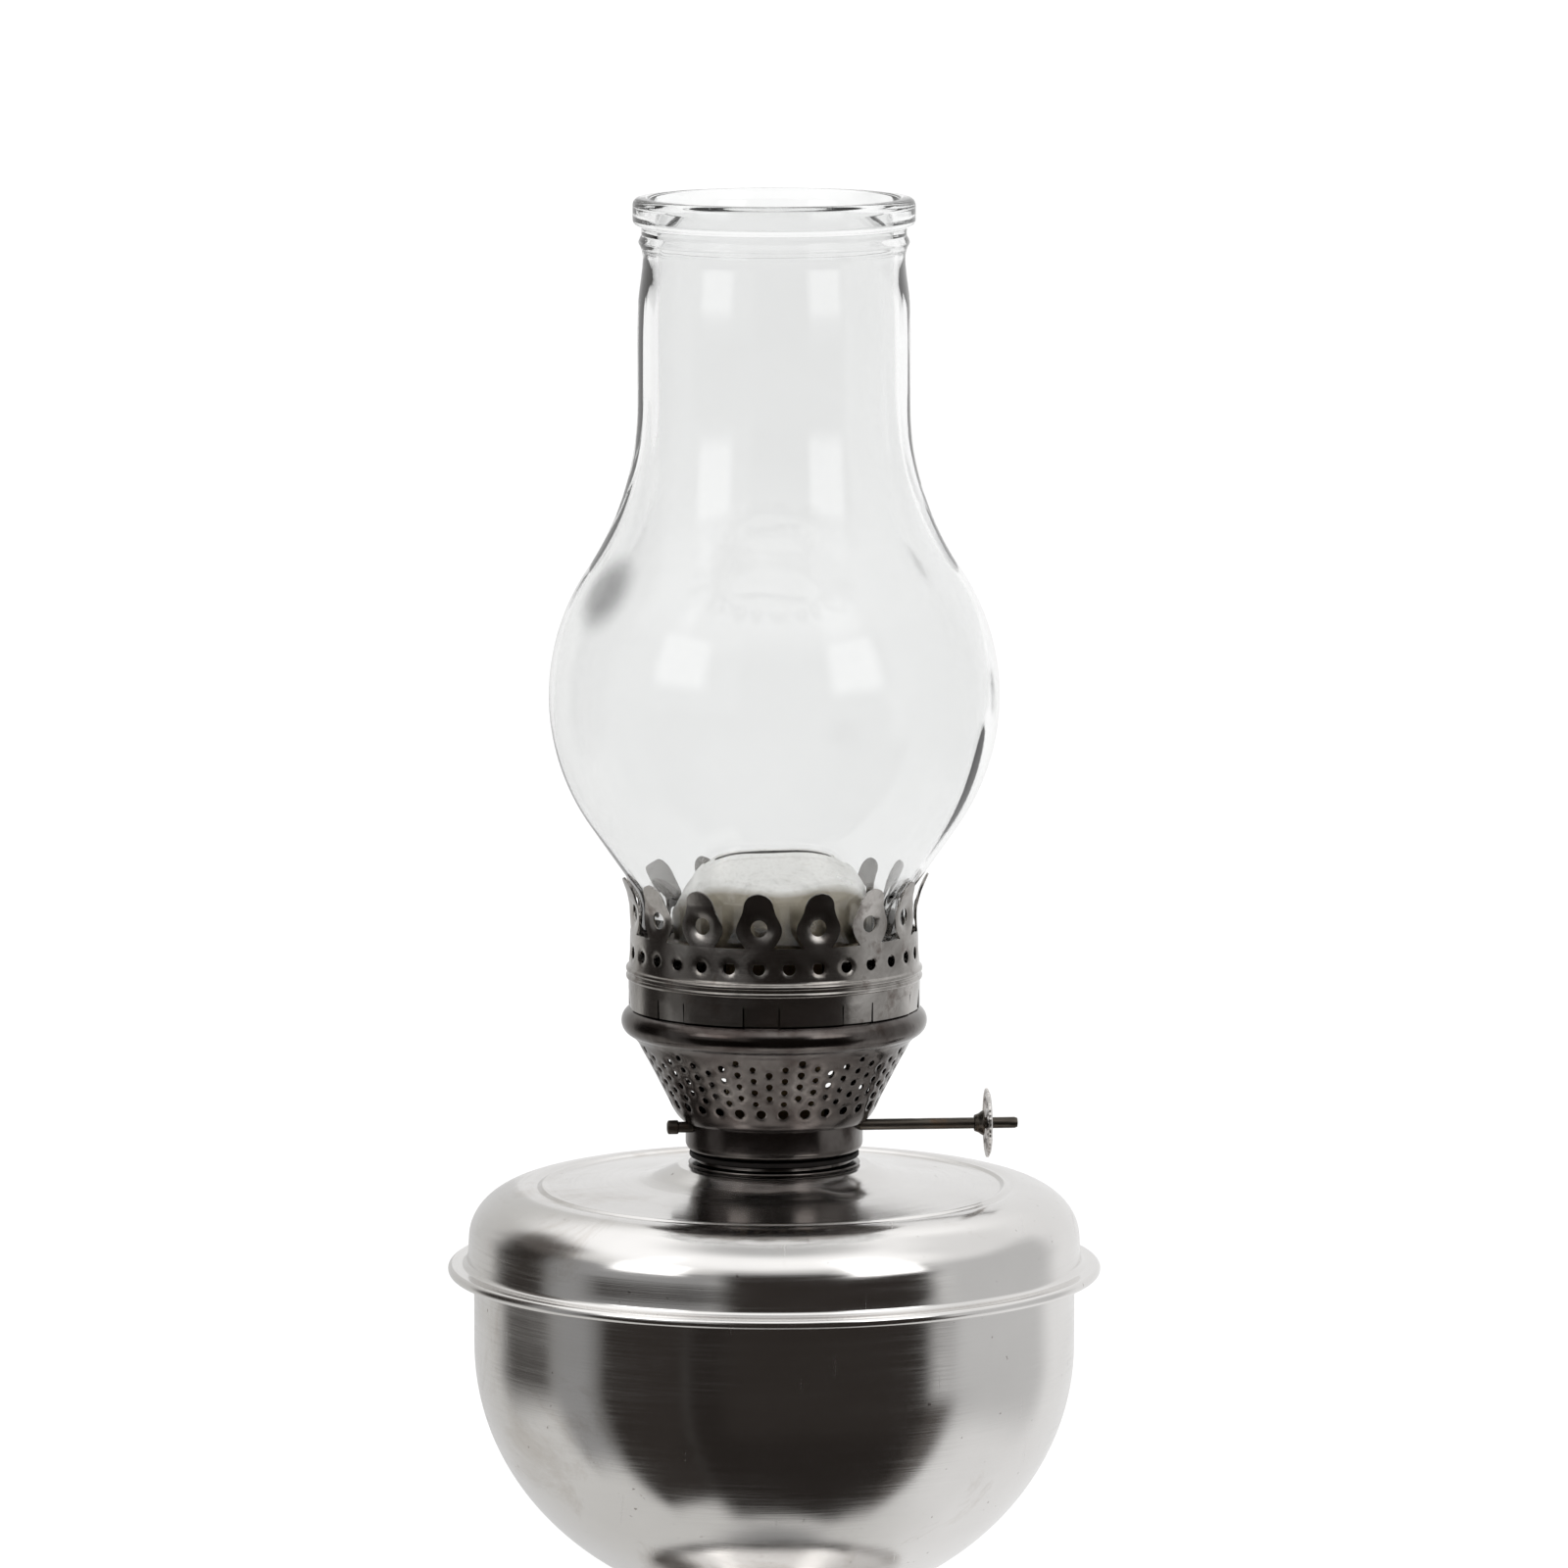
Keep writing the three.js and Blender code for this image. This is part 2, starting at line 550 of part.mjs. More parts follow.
const gallery = new THREE.Group();
add(gallery, 'gallery_ring', galleryRing(), BURNER_METAL);
add(gallery, 'diffuser_plate', diffuserPlate(), BURNER_METAL);
add(gallery, 'deflector_dome', deflectorDome(), DOME_METAL);
add(gallery, 'chimney_glass', chimneyGlass(), GLASS);

lamp.add(font, burner, raiser, gallery);
export default lamp;
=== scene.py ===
import math
import random
import bpy
import bmesh
import numpy as np
from mathutils import Matrix, Vector, noise
from mathutils.geometry import delaunay_2d_cdt


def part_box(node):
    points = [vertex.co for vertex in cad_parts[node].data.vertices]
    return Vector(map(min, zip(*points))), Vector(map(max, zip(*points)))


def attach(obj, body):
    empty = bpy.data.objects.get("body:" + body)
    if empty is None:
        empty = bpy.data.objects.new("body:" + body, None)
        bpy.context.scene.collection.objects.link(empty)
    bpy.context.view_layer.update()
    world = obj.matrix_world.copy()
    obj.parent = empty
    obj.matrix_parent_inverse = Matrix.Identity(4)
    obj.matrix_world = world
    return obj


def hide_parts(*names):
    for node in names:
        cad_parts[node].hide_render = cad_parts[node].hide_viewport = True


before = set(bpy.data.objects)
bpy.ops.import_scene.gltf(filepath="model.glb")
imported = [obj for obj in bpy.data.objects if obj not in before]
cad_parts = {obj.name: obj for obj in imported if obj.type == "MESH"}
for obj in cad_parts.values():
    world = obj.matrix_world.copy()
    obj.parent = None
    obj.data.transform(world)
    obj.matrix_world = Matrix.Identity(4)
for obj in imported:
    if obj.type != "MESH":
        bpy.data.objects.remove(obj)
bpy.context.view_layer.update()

# Lengths are in millimetres until mesh_object() turns them into metres. Only the studio, the camera and
# the depth of bumps in the materials are given in metres. Most heights are counted from the seam, the
# upper face of the flange that joins the font's two shells.
MM = 0.001
FONT_SHEET = 0.7
BURNER_SHEET = 0.55


def low(node):
    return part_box(node)[0] / MM


def high(node):
    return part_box(node)[1] / MM


SEAM = low("font_top").z + 4 * FONT_SHEET
FLANGE_R = high("font_top").x
FONT_R = FLANGE_R - 7.4
SHOULDER_R = FLANGE_R - 6.0
COLLAR_Z = high("font_top").z
BASE_R = high("burner_base").x
BASE_Z = COLLAR_Z + 4.2
SKIRT_Z = low("gallery_ring").z - 0.6
GALLERY_R = 41.5
PRONG_ROOT_Z = SEAM + 96.1
PRONG_TIP_Z = high("gallery_ring").z
PRONG_LENGTH = PRONG_TIP_Z - PRONG_ROOT_Z + 0.1
SEAT_Z = high("diffuser_plate").z
DOME_R = 27.8
DOME_SPRING_Z = SEAM + 98.4
DOME_HEIGHT = 23.0
SLOT_X, SLOT_Y = 17.0, 3.5
ROOF_SLOPE, ROOF_CROWNING = 0.35, 2.4e-5
SPINDLE_Y = (low("thumbwheel").y + high("thumbwheel").y) / 2
SPINDLE_Z = (low("thumbwheel").z + high("thumbwheel").z) / 2
WHEEL_X = (low("thumbwheel").x + high("thumbwheel").x) / 2
WHEEL_R = high("thumbwheel").z - SPINDLE_Z
PRONGS = 15
PRONG_START = math.radians(91)

HOLE_TRIM = 0.985       # sheet is cut away out to this share of a hole's radius
FONT_SEGMENTS = 224

rng = random.Random(7)


def polar(radius, a):
    return radius * math.cos(a), radius * math.sin(a)


def ripple(a, spread, height):
    """Smooth noise that closes on itself round the axis."""
    return noise.noise(Vector((math.cos(a) * spread, math.sin(a) * spread, height)))


# ------------------------------------------------------------------ outlines, as lists of (radius, height)
def arc(centre_r, centre_z, radius, start, end, steps, radius_z=None):
    """Points of an arc, or of an ellipse when radius_z is given. Degrees from outwards to upwards."""
    radius_z = radius if radius_z is None else radius_z
    turns = np.radians(np.linspace(start, end, steps + 1))
    return [(centre_r + radius * math.cos(a), centre_z + radius_z * math.sin(a)) for a in turns]


def rounded(corners, step=math.radians(9)):
    """A polyline of (r, z) or (r, z, fillet radius) corners with its corners filleted."""
    points = []
    for i, corner in enumerate(corners):
        here = Vector(corner[:2])
        fillet = corner[2] if len(corner) > 2 else 0.0
        if fillet == 0.0 or i in (0, len(corners) - 1):
            points.append(tuple(here))
            continue
        to_prev = Vector(corners[i - 1][:2]) - here
        to_next = Vector(corners[i + 1][:2]) - here
        opening = to_prev.angle(to_next)
        run = fillet / math.tan(opening / 2)
        run = min(run, to_prev.length * 0.49, to_next.length * 0.49)
        radius = run * math.tan(opening / 2)
        middle = here + (to_prev.normalized() + to_next.normalized()).normalized() * (
            radius / math.sin(opening / 2))
        first = here + to_prev.normalized() * run - middle
        last = here + to_next.normalized() * run - middle
        swept = first.angle_signed(last)
        count = max(2, math.ceil(abs(swept) / step))
        for k in range(count + 1):
            turned = Matrix.Rotation(-swept * k / count, 2) @ first
            points.append(tuple(middle + turned))
    return points


def curve_through(points, per_span=6):
    """A smooth curve through the points (Catmull-Rom)."""
    padded = [points[0], *points, points[-1]]
    curve = []
    for a, b, c, d in zip(padded, padded[1:], padded[2:], padded[3:]):
        a, b, c, d = (np.array(p, float) for p in (a, b, c, d))
        for t in np.arange(per_span) / per_span:
            curve.append(tuple(0.5 * (2 * b + (c - a) * t + (2 * a - 5 * b + 4 * c - d) * t ** 2
                                      + (3 * b - 3 * c + d - a) * t ** 3)))
    curve.append(tuple(points[-1]))
    return curve


def resampled(points, spacing):
    """The same line with no stretch longer than the spacing."""
    line = [points[0]]
    for a, b in zip(points, points[1:]):
        pieces = max(1, math.ceil(math.dist(a, b) / spacing))
        line += [tuple(np.array(a) + (np.array(b) - np.array(a)) * k / pieces)
                 for k in range(1, pieces + 1)]
    return line


def offset(points, distance):
    """Every point moved to the left of the line's direction of travel."""
    p = np.array(points)
    along = np.diff(p, axis=0)
    along /= np.linalg.norm(along, axis=1)[:, None]
    normals = np.stack([-along[:, 1], along[:, 0]], axis=1)
    before = np.vstack([normals[:1], normals])
    after = np.vstack([normals, normals[-1:]])
    mitre = before + after
    mitre /= np.linalg.norm(mitre, axis=1)[:, None]
    moved = p + mitre * (distance / np.maximum((mitre * after).sum(axis=1), 0.5))[:, None]
    moved[p[:, 0] < 1e-6, 0] = 0
    return [tuple(q) for q in moved]


def sheet(points, thickness):
    """A closed outline: the outside face, then the inside face back again, on its left."""
    return points + offset(points, thickness)[::-1]


# ------------------------------------------------------------------ meshes
def mesh_object(name, verts, faces, sharp=40.0):
    mesh = bpy.data.meshes.new(name)
    mesh.from_pydata((np.asarray(verts, float) * MM).tolist(), [], [list(map(int, f)) for f in faces])
    mesh.validate()
    obj = bpy.data.objects.new(name, mesh)
    bpy.context.collection.objects.link(obj)
    smooth(obj, sharp)
    return obj


def smooth(obj, sharp=40.0):
    obj.data.shade_smooth()
    obj.data.set_sharp_from_angle(angle=math.radians(sharp))


def apply_modifiers(obj, sharp=40.0):
    evaluated = obj.evaluated_get(bpy.context.evaluated_depsgraph_get())
    mesh = bpy.data.meshes.new_from_object(evaluated)
    obj.modifiers.clear()
    obj.data = mesh
    smooth(obj, sharp)


def lathe(name, outline, segments=160, wobble=None, sharp=40.0):
    """Turns an outline about +Z. One that starts off the axis is closed here, if it isn't yet.
    wobble(r, z, angle, index) gives a change of radius."""
    if outline[0][0] > 1e-6 and outline[0] != outline[-1]:
        outline = outline + [outline[0]]
    angles = np.arange(segments) * (2 * math.pi / segments)
    verts, rows = [], []
    for index, (r, z) in enumerate(outline[:-1] if outline[0] == outline[-1] else outline):
        if r < 1e-6:
            rows.append([len(verts)] * segments)
            verts.append((0, 0, z))
            continue
        rows.append(list(range(len(verts), len(verts) + segments)))
        for a in angles:
            radius = r + (wobble(r, z, a, index) if wobble else 0)
            verts.append((*polar(radius, a), z))
    if outline[0] == outline[-1]:
        rows.append(rows[0])
    faces = []
    for below, above in zip(rows, rows[1:]):
        for k in range(segments):
            n = (k + 1) % segments
            quad = [below[k], below[n], above[n], above[k]]
            face = [v for i, v in enumerate(quad) if v != quad[i - 1]]
            if len(face) > 2:
                faces.append(face)
    return mesh_object(name, verts, faces, sharp)


def along_x(obj, start=0.0):
    """Lays a turned piece along the wick spindle: its own height becomes the distance beyond start."""
    turn = Matrix(((0, 0, 1, 0), (0, 1, 0, 0), (-1, 0, 0, 0), (0, 0, 0, 1)))
    obj.data.transform(Matrix.Translation((start * MM, SPINDLE_Y * MM, SPINDLE_Z * MM)) @ turn)
    return obj


def circle(x, y, radius, count):
    turns = np.arange(count) * (2 * math.pi / count)
    return [(x + radius * math.cos(a), y + radius * math.sin(a)) for a in turns]


def clear_of(holes, x, y, share=HOLE_TRIM, margin=0.0):
    """Whether a point lies outside every hole (x, y, radius)."""
    return all(math.hypot(x - hx, y - hy) > hr * share + margin for hx, hy, hr in holes)


def holes_near(table, x, y, reach):
    return table[(np.abs(table[:, 0] - x) < reach) & (np.abs(table[:, 1] - y) < reach)]


def cut_sheet(boundary, holes, free, keep, inside_only=False):
    """Triangles of a flat sheet: its boundary loop, loops of holes and free points inside it."""
    points, edges = [], []
    for loop in [boundary, *holes]:
        start = len(points)
        points += loop
        edges += [(start + i, start + (i + 1) % len(loop)) for i in range(len(loop))]
    points += free
    out = delaunay_2d_cdt([Vector(p) for p in points], edges, [], int(inside_only), 1e-6)
    verts = [tuple(v) for v in out[0]]
    faces = []
    for f in out[2]:
        x = sum(verts[i][0] for i in f) / len(f)
        y = sum(verts[i][1] for i in f) / len(f)
        if keep(x, y):
            faces.append(tuple(f))
    return verts, faces


def thicken(obj, thickness):
    solidify = obj.modifiers.new("thickness", "SOLIDIFY")
    solidify.thickness = thickness * MM
    solidify.offset = -1


def wrapped_sheet(name, verts, faces, place, thickness, sharp=50.0):
    """Bends flat triangles into space with place(x, y), welds the seam and gives them thickness."""
    obj = mesh_object(name, [place(x, y) for x, y in verts], faces, sharp)
    bm = bmesh.new()
    bm.from_mesh(obj.data)
    bmesh.ops.remove_doubles(bm, verts=bm.verts, dist=2e-6)
    loose = [v for v in bm.verts if not v.link_faces]
    bmesh.ops.delete(bm, geom=loose, context="VERTS")
    bm.to_mesh(obj.data)
    bm.free()
    thicken(obj, thickness)
    apply_modifiers(obj, sharp)
    return obj


class Rail:
    """A line of (radius, height) points addressed by the distance along it."""

    def __init__(self, points):
        self.points = np.array(points, float)
        steps = np.linalg.norm(np.diff(self.points, axis=0), axis=1)
        self.marks = np.concatenate([[0], np.cumsum(steps)])
        self.length = self.marks[-1]

    def at(self, distance):
        return (float(np.interp(distance, self.marks, self.points[:, 0])),
                float(np.interp(distance, self.marks, self.points[:, 1])))

    def distance_to_height(self, z):
        return float(np.interp(z, self.points[:, 1], self.marks))


# ------------------------------------------------------------------ node materials
class Nodes:
    """Short names for the nodes of one tree."""

    def __init__(self, tree):
        self.tree = tree

    def node(self, kind, **settings):
        made = self.tree.nodes.new(kind)
        for key, value in settings.items():
            setattr(made, key, value)
        return made

    def link(self, socket, target):
        self.tree.links.new(socket, target)

    def feed(self, target, value):
        if isinstance(value, bpy.types.NodeSocket):
            self.link(value, target)
        else:
            target.default_value = value

    def math(self, operation, a, b=0.5):
        made = self.node("ShaderNodeMath", operation=operation)
        self.feed(made.inputs[0], a)
        self.feed(made.inputs[1], b)
        return made.outputs[0]

    def fill(self, made, **values):
        """Feeds a node's inputs by name."""
        for key, value in values.items():
            self.feed(made.inputs[key.replace("_", " ")], value)
        return made

    def ranged(self, value, low_in, high_in, low_out=0.0, high_out=1.0, kind="LINEAR"):
        made = self.fill(self.node("ShaderNodeMapRange", interpolation_type=kind), Value=value,
                         From_Min=low_in, From_Max=high_in, To_Min=low_out, To_Max=high_out)
        return made.outputs["Result"]

    def mix(self, factor, a, b):
        made = self.node("ShaderNodeMix", data_type="RGBA")
        self.feed(made.inputs["Factor"], factor)
        self.feed(made.inputs[6], a)
        self.feed(made.inputs[7], b)
        return made.outputs[2]

    def xyz(self, vector):
        split = self.node("ShaderNodeSeparateXYZ")
        self.link(vector, split.inputs[0])
        return split.outputs["X"], split.outputs["Y"], split.outputs["Z"]


class Shader(Nodes):
    """A material with one Principled shader."""

    def __init__(self, name, **values):
        self.material = bpy.data.materials.new(name)
        self.material.use_nodes = True
        super().__init__(self.material.node_tree)
        self.surface = self.fill(self.tree.nodes["Principled BSDF"], **values)
        self.coords = self.node("ShaderNodeTexCoord").outputs["Object"]

    def stretched(self, scale, rotation=(0, 0, 0)):
        made = self.fill(self.node("ShaderNodeMapping"), Vector=self.coords, Scale=scale, Rotation=rotation)
        return made.outputs["Vector"]

    def noise(self, scale, detail=4.0, roughness=0.55, coords=None, distortion=0.0):
        made = self.fill(self.node("ShaderNodeTexNoise"), Vector=coords or self.coords, Scale=scale,
                         Detail=detail, Roughness=roughness, Distortion=distortion)
        return made.outputs["Fac"]

    def axis_rings(self):
        """A coordinate that grows outwards and upwards, so noise in it runs round the lamp's axis."""
        x, y, z = self.xyz(self.coords)
        flat = self.math("SQRT", self.math("ADD", self.math("POWER", x, 2.0), self.math("POWER", y, 2.0)))
        return self.math("ADD", flat, z)

    def brushed(self, fine):
        """Noise drawn out round the axis: fine is its frequency across the brushing, per metre."""
        x, y, _ = self.xyz(self.coords)
        joined = self.fill(self.node("ShaderNodeCombineXYZ"), X=self.math("MULTIPLY", x, 30.0),
                           Y=self.math("MULTIPLY", y, 30.0),
                           Z=self.math("MULTIPLY", self.axis_rings(), fine))
        return self.noise(1.0, 3.0, 0.6, joined.outputs[0])

    def away_from(self, x, y, z):
        """Distance in millimetres from a point given in millimetres."""
        made = self.node("ShaderNodeVectorMath", operation="DISTANCE")
        self.link(self.coords, made.inputs[0])
        made.inputs[1].default_value = (x * MM, y * MM, z * MM)
        return self.math("DIVIDE", made.outputs["Value"], MM)

    def bump(self, height, strength, distance, normal=None):
        made = self.fill(self.node("ShaderNodeBump"), Strength=strength, Distance=distance, Height=height)
        if normal:
            self.link(normal, made.inputs["Normal"])
        return made.outputs["Normal"]

    def finish(self, color=None, roughness=None, normal=None):
        for key, value in (("Base Color", color), ("Roughness", roughness), ("Normal", normal)):
            if value is not None:
                self.feed(self.surface.inputs[key], value)
        return self.material


def scratch_mask(s, across, turn, threshold):
    """Thin broken lines: noise drawn out in one direction and cut off high."""
    lines = s.noise(1.0, 2.0, 0.5, s.stretched((across, across * 0.02, across * 0.05), turn))
    return s.ranged(lines, threshold, threshold + 0.04)


def font_metal():
    s = Shader("tinned_sheet", Metallic=1.0)
    cloud = s.noise(9.0, 5.0)
    fine = s.noise(60.0, 6.0, 0.65)
    brushing = s.brushed(1800.0)
    stain = s.ranged(s.noise(22.0, 6.0, 0.7, distortion=0.6), 0.56, 0.72, 0.0, 0.55)
    color = s.mix(s.ranged(cloud, 0.35, 0.65), (0.80, 0.785, 0.77, 1), (0.70, 0.685, 0.67, 1))
    color = s.mix(stain, color, (0.50, 0.45, 0.40, 1))
    specks = s.ranged(s.noise(420.0, 2.0, 0.5), 0.73, 0.79, 0.0, 0.7)
    color = s.mix(specks, color, (0.22, 0.19, 0.17, 1))
    rough = s.ranged(s.math("ADD", cloud, s.math("MULTIPLY", fine, 0.6)), 0.5, 1.1, 0.10, 0.24)
    rough = s.math("ADD", rough, s.ranged(brushing, 0.4, 0.7, -0.02, 0.06))
    scratches = s.math("MAXIMUM", scratch_mask(s, 900.0, (0.3, 0.9, 0.6), 0.735),
                       scratch_mask(s, 700.0, (1.2, 0.2, -0.7), 0.74))
    dents = s.noise(14.0, 2.0, 0.4)
    normal = s.bump(dents, 0.25, 0.0012)
    normal = s.bump(brushing, 0.10, 0.00012, normal)
    normal = s.bump(scratches, -0.35, 0.0001, normal)
    return s.finish(color, s.math("ADD", rough, s.math("MULTIPLY", scratches, 0.12)), normal)


def burner_metal(name="tarnished_nickel", light=(0.46, 0.44, 0.42, 1), dark=(0.22, 0.205, 0.19, 1),
                 brown=(0.11, 0.08, 0.065, 1), rough_low=0.13, rough_high=0.27):
    s = Shader(name, Metallic=1.0)
    patches = s.noise(38.0, 6.0, 0.62, distortion=0.4)
    grime = s.noise(120.0, 5.0, 0.7)
    color = s.mix(s.ranged(patches, 0.38, 0.62), light, dark)
    color = s.mix(s.ranged(grime, 0.55, 0.72, 0.0, 0.75), color, brown)
    brushing = s.brushed(2600.0)
    rough = s.ranged(s.math("ADD", patches, s.math("MULTIPLY", grime, 0.5)), 0.5, 1.0, rough_low, rough_high)
    normal = s.bump(patches, 0.20, 0.0006)
    normal = s.bump(s.noise(700.0, 3.0, 0.6), 0.12, 0.00015, normal)
    normal = s.bump(brushing, 0.10, 0.0001, normal)
    return s.finish(color, rough, normal)


def sooted_metal():
    return burner_metal("sooted_nickel", (0.15, 0.138, 0.13, 1), (0.062, 0.051, 0.047, 1),
                        (0.032, 0.020, 0.016, 1), 0.11, 0.24)


def dome_metal():
    s = Shader("satin_dome", Metallic=0.85)
    x, y, z = (s.math("DIVIDE", along, MM) for along in s.xyz(s.coords))
    # The dome is painted darker and browner towards its foot, down inside the gallery ring: painted shade of
    # the prongs round it, with a noisy edge.
    foot_shade_height = s.math("ADD", z, s.ranged(s.noise(70.0, 5.0, 0.6), 0.3, 0.7, -2.5, 2.5))
    color = s.mix(s.ranged(foot_shade_height, SEAT_Z + 3, SEAT_Z + 17), (0.10, 0.08, 0.055, 1),
                  (0.36, 0.325, 0.255, 1))
    # The upward-facing roof facets round the slot are painted near-white: a painted highlight of the light
    # from above.
    aside = s.math("MAXIMUM", s.math("SUBTRACT", s.math("ABSOLUTE", y), SLOT_Y), 0.0)
    fall = s.math("ADD", s.math("MULTIPLY", aside, ROOF_SLOPE),
                  s.math("MULTIPLY", s.math("POWER", s.math("ABSOLUTE", x), 4.0), ROOF_CROWNING))
    roof = s.math("SUBTRACT", high("deflector_dome").z, fall)
    roof_highlight_mask = s.ranged(s.math("SUBTRACT", roof, z), 0.5, 2.2, 1.0, 0.0)
    color = s.mix(roof_highlight_mask, color, (0.97, 0.965, 0.94, 1))
    grain = s.noise(900.0, 4.0, 0.7)
    color = s.mix(s.ranged(grain, 0.5, 0.75, 0.0, 0.35), color, (0.36, 0.33, 0.27, 1))
    rough = s.ranged(s.noise(90.0, 4.0), 0.3, 0.7, 0.26, 0.40)
    normal = s.bump(s.noise(45.0, 3.0), 0.25, 0.0008)
    normal = s.bump(grain, 0.15, 0.00012, normal)
    return s.finish(color, rough, normal)


def brass_metal():
    return burner_metal("old_brass", (0.56, 0.43, 0.24, 1), (0.36, 0.26, 0.14, 1), (0.14, 0.09, 0.05, 1),
                        0.3, 0.5)


def steel_metal():
    return burner_metal("oxidised_steel", (0.10, 0.088, 0.075, 1), (0.055, 0.047, 0.04, 1),
                        (0.11, 0.066, 0.04, 1), 0.30, 0.50)


def wheel_metal():
    return burner_metal("worn_nickel", (0.72, 0.70, 0.68, 1), (0.50, 0.46, 0.44, 1), (0.26, 0.18, 0.15, 1),
                        0.2, 0.4)


def gasket_rubber():
    s = Shader("gasket_with_painted_shade", Specular_IOR_Level=0.15)
    grain = s.noise(260.0, 5.0, 0.6)
    # Near-black: the gasket's own dark colour, darkened further as painted shade of the crevice between
    # collar and burner.
    color = s.mix(s.ranged(grain, 0.35, 0.7), (0.004, 0.003, 0.0025, 1), (0.012, 0.009, 0.008, 1))
    return s.finish(color, s.ranged(grain, 0.3, 0.7, 0.45, 0.75), s.bump(grain, 0.4, 0.0003))


def cotton():
    """Woven tape: warp cords run up the wick and weft threads cross them. The top edge is charred."""
    s = Shader("woven_cotton", Sheen_Weight=0.3)

    def threads(direction, scale):
        made = s.fill(s.node("ShaderNodeTexWave", wave_type="BANDS", bands_direction=direction),
                      Vector=s.coords, Scale=scale, Distortion=0.6)
        return made.outputs["Fac"]
    weave = s.math("MULTIPLY", threads("X", 290.0), threads("Z", 420.0))
    color = s.mix(weave, (0.46, 0.40, 0.29, 1), (0.80, 0.74, 0.62, 1))
    top = high("wick").z * MM
    char = s.math("ADD", s.xyz(s.coords)[2], s.ranged(s.noise(400.0, 3.0), 0.3, 0.7, -0.0008, 0.0008))
    color = s.mix(s.ranged(char, top - 0.0055, top - 0.0015), color, (0.02, 0.017, 0.015, 1))
    return s.finish(color, 0.95, s.bump(weave, 0.8, 0.0004))


def chimney_material():
    s = Shader("clear_glass", IOR=1.5, Transmission_Weight=1.0, Roughness=0.0)
    cords = s.noise(1.0, 2.0, 0.5, s.stretched((26.0, 26.0, 5.0)))
    haze = s.ranged(s.noise(8.0, 5.0, 0.6), 0.45, 0.8)
    color = s.mix(haze, (0.838, 0.842, 0.840, 1), (0.80, 0.804, 0.802, 1))
    # A dark spot painted on the glass to the left, above the bulb: a painted reflection of a dark flag.
    painted_dark_reflection = s.ranged(s.away_from(-49, -22, SEAM + 195), 4.0, 15.0, 0.75, 0.0, "SMOOTHSTEP")
    color = s.mix(painted_dark_reflection, color, (0.22, 0.22, 0.22, 1))
    return s.finish(color, None, s.bump(cords, 0.35, 0.0010))


# ------------------------------------------------------------------ pieces: pedestal and font
def foot_shell():
    top = high("foot_shell").z
    rim = high("foot_shell").x
    roll = 1.8
    flare = curve_through([(rim - 5.8, 9.2), (rim - 11.2, 13.5), (48, 18.8), (36, 25.2), (26, 36), (20.3, 49),
                           (18.2, top)], 8)
    outline = [(67.2, 0), *arc(rim - roll, roll, roll, -90, 60, 10), (rim - 2.6, 5.2), *flare]
    return lathe("pedestal", sheet(outline, 0.8))


def stem_ring():
    base = low("stem_ring").z
    return lathe("stem_knop", rounded([
        (13, base), (19.5, base, 0.6), (23.4, base + 1.8, 2), (24.8, base + 4.6, 2.4),
        (23.8, base + 7.2, 1.6), (21.6, base + 8.2, 1.0), (13, base + 6.9), (13, base)]))


def font_bowl():
    wall_end = SEAM - 23.4
    flange = SEAM - 1.8
    outline = arc(0, wall_end, FONT_R, -90, 0, 60, wall_end - low("font_bowl").z)
    outline[0] = (0, outline[0][1])
    lip = rounded([(FONT_R, wall_end), (FONT_R, flange, 1.3), (FLANGE_R - 1.3, flange)])[1:]

    def wobble(r, z, a, index):
        return 0.16 * ripple(a, 1.4, z / 45) if 8 < r < FONT_R + 1 else 0.0
    return lathe("font_bowl_shell", sheet(outline + resampled(lip, 3), FONT_SHEET), FONT_SEGMENTS, wobble)


def font_top():
    hem = SEAM - 2.8
    width, height = 17.8, 14.8
    shoulder = arc(SHOULDER_R - width, SEAM + 7.4, width, 4, 90, 30, height)
    outline = rounded([(88.6, hem), (FLANGE_R, hem, 1.3), (FLANGE_R, SEAM, 1.25),
                       (SHOULDER_R + 0.5, SEAM, 1.8), shoulder[0]])
    outline += shoulder[1:]
    outline += rounded([shoulder[-1], (67.6, SEAM + 21.8, 1.5), (66, SEAM + 22.7, 1.2),
                        (64.4, SEAM + 21.9, 1.5), (40, SEAM + 24.5, 30), (33.5, SEAM + 25.7, 12),
                        (27.4, COLLAR_Z, 3), (22.4, COLLAR_Z)])[1:]

    def wobble(r, z, a, index):
        return 0.12 * ripple(a, 1.7, r / 30)
    top = lathe("font_top_shell", sheet(resampled(outline, 2.5), FONT_SHEET), FONT_SEGMENTS, wobble)
    press_dents(top)
    return top


def press_dents(top):
    """Shallow dents that handling leaves in the deck beside the collar."""
    dents = [(-62, 37, 8, 0.9), (-100, 33, 9, 0.7), (20, 48, 10, 0.5), (150, 42, 12, 0.6)]
    for v in top.data.vertices:
        x, y, z = v.co / MM
        if z < SEAM + 20:
            continue
        for bearing, reach, width, depth in dents:
            away = math.dist((x, y), polar(reach, math.radians(bearing))) / width
            v.co.z -= depth * MM * math.exp(-away * away * 2)
    smooth(top)


def font_collar():
    brim, foot = COLLAR_Z + 0.4, SEAM + 21.5
    bore, wall = 20.4, 21.9
    return lathe("threaded_collar", rounded([
        (bore, foot), (wall, foot), (wall, brim), (24.6, brim, 0.2), (24.4, brim + 0.5, 0.3),
        (wall + 0.2, brim + 0.7, 0.4), (wall, brim + 1.8, 0.3), (bore, brim + 1.8), (bore, foot)]))


def collar_gasket():
    z0, z1 = low("collar_gasket").z, high("collar_gasket").z
    inner, outer, edge = 20.8, 24.2, 0.5
    return lathe("gasket_ring", rounded([
        (inner, z0), (outer, z0, edge), (outer, z1, edge), (inner, z1), (inner, z0)]))


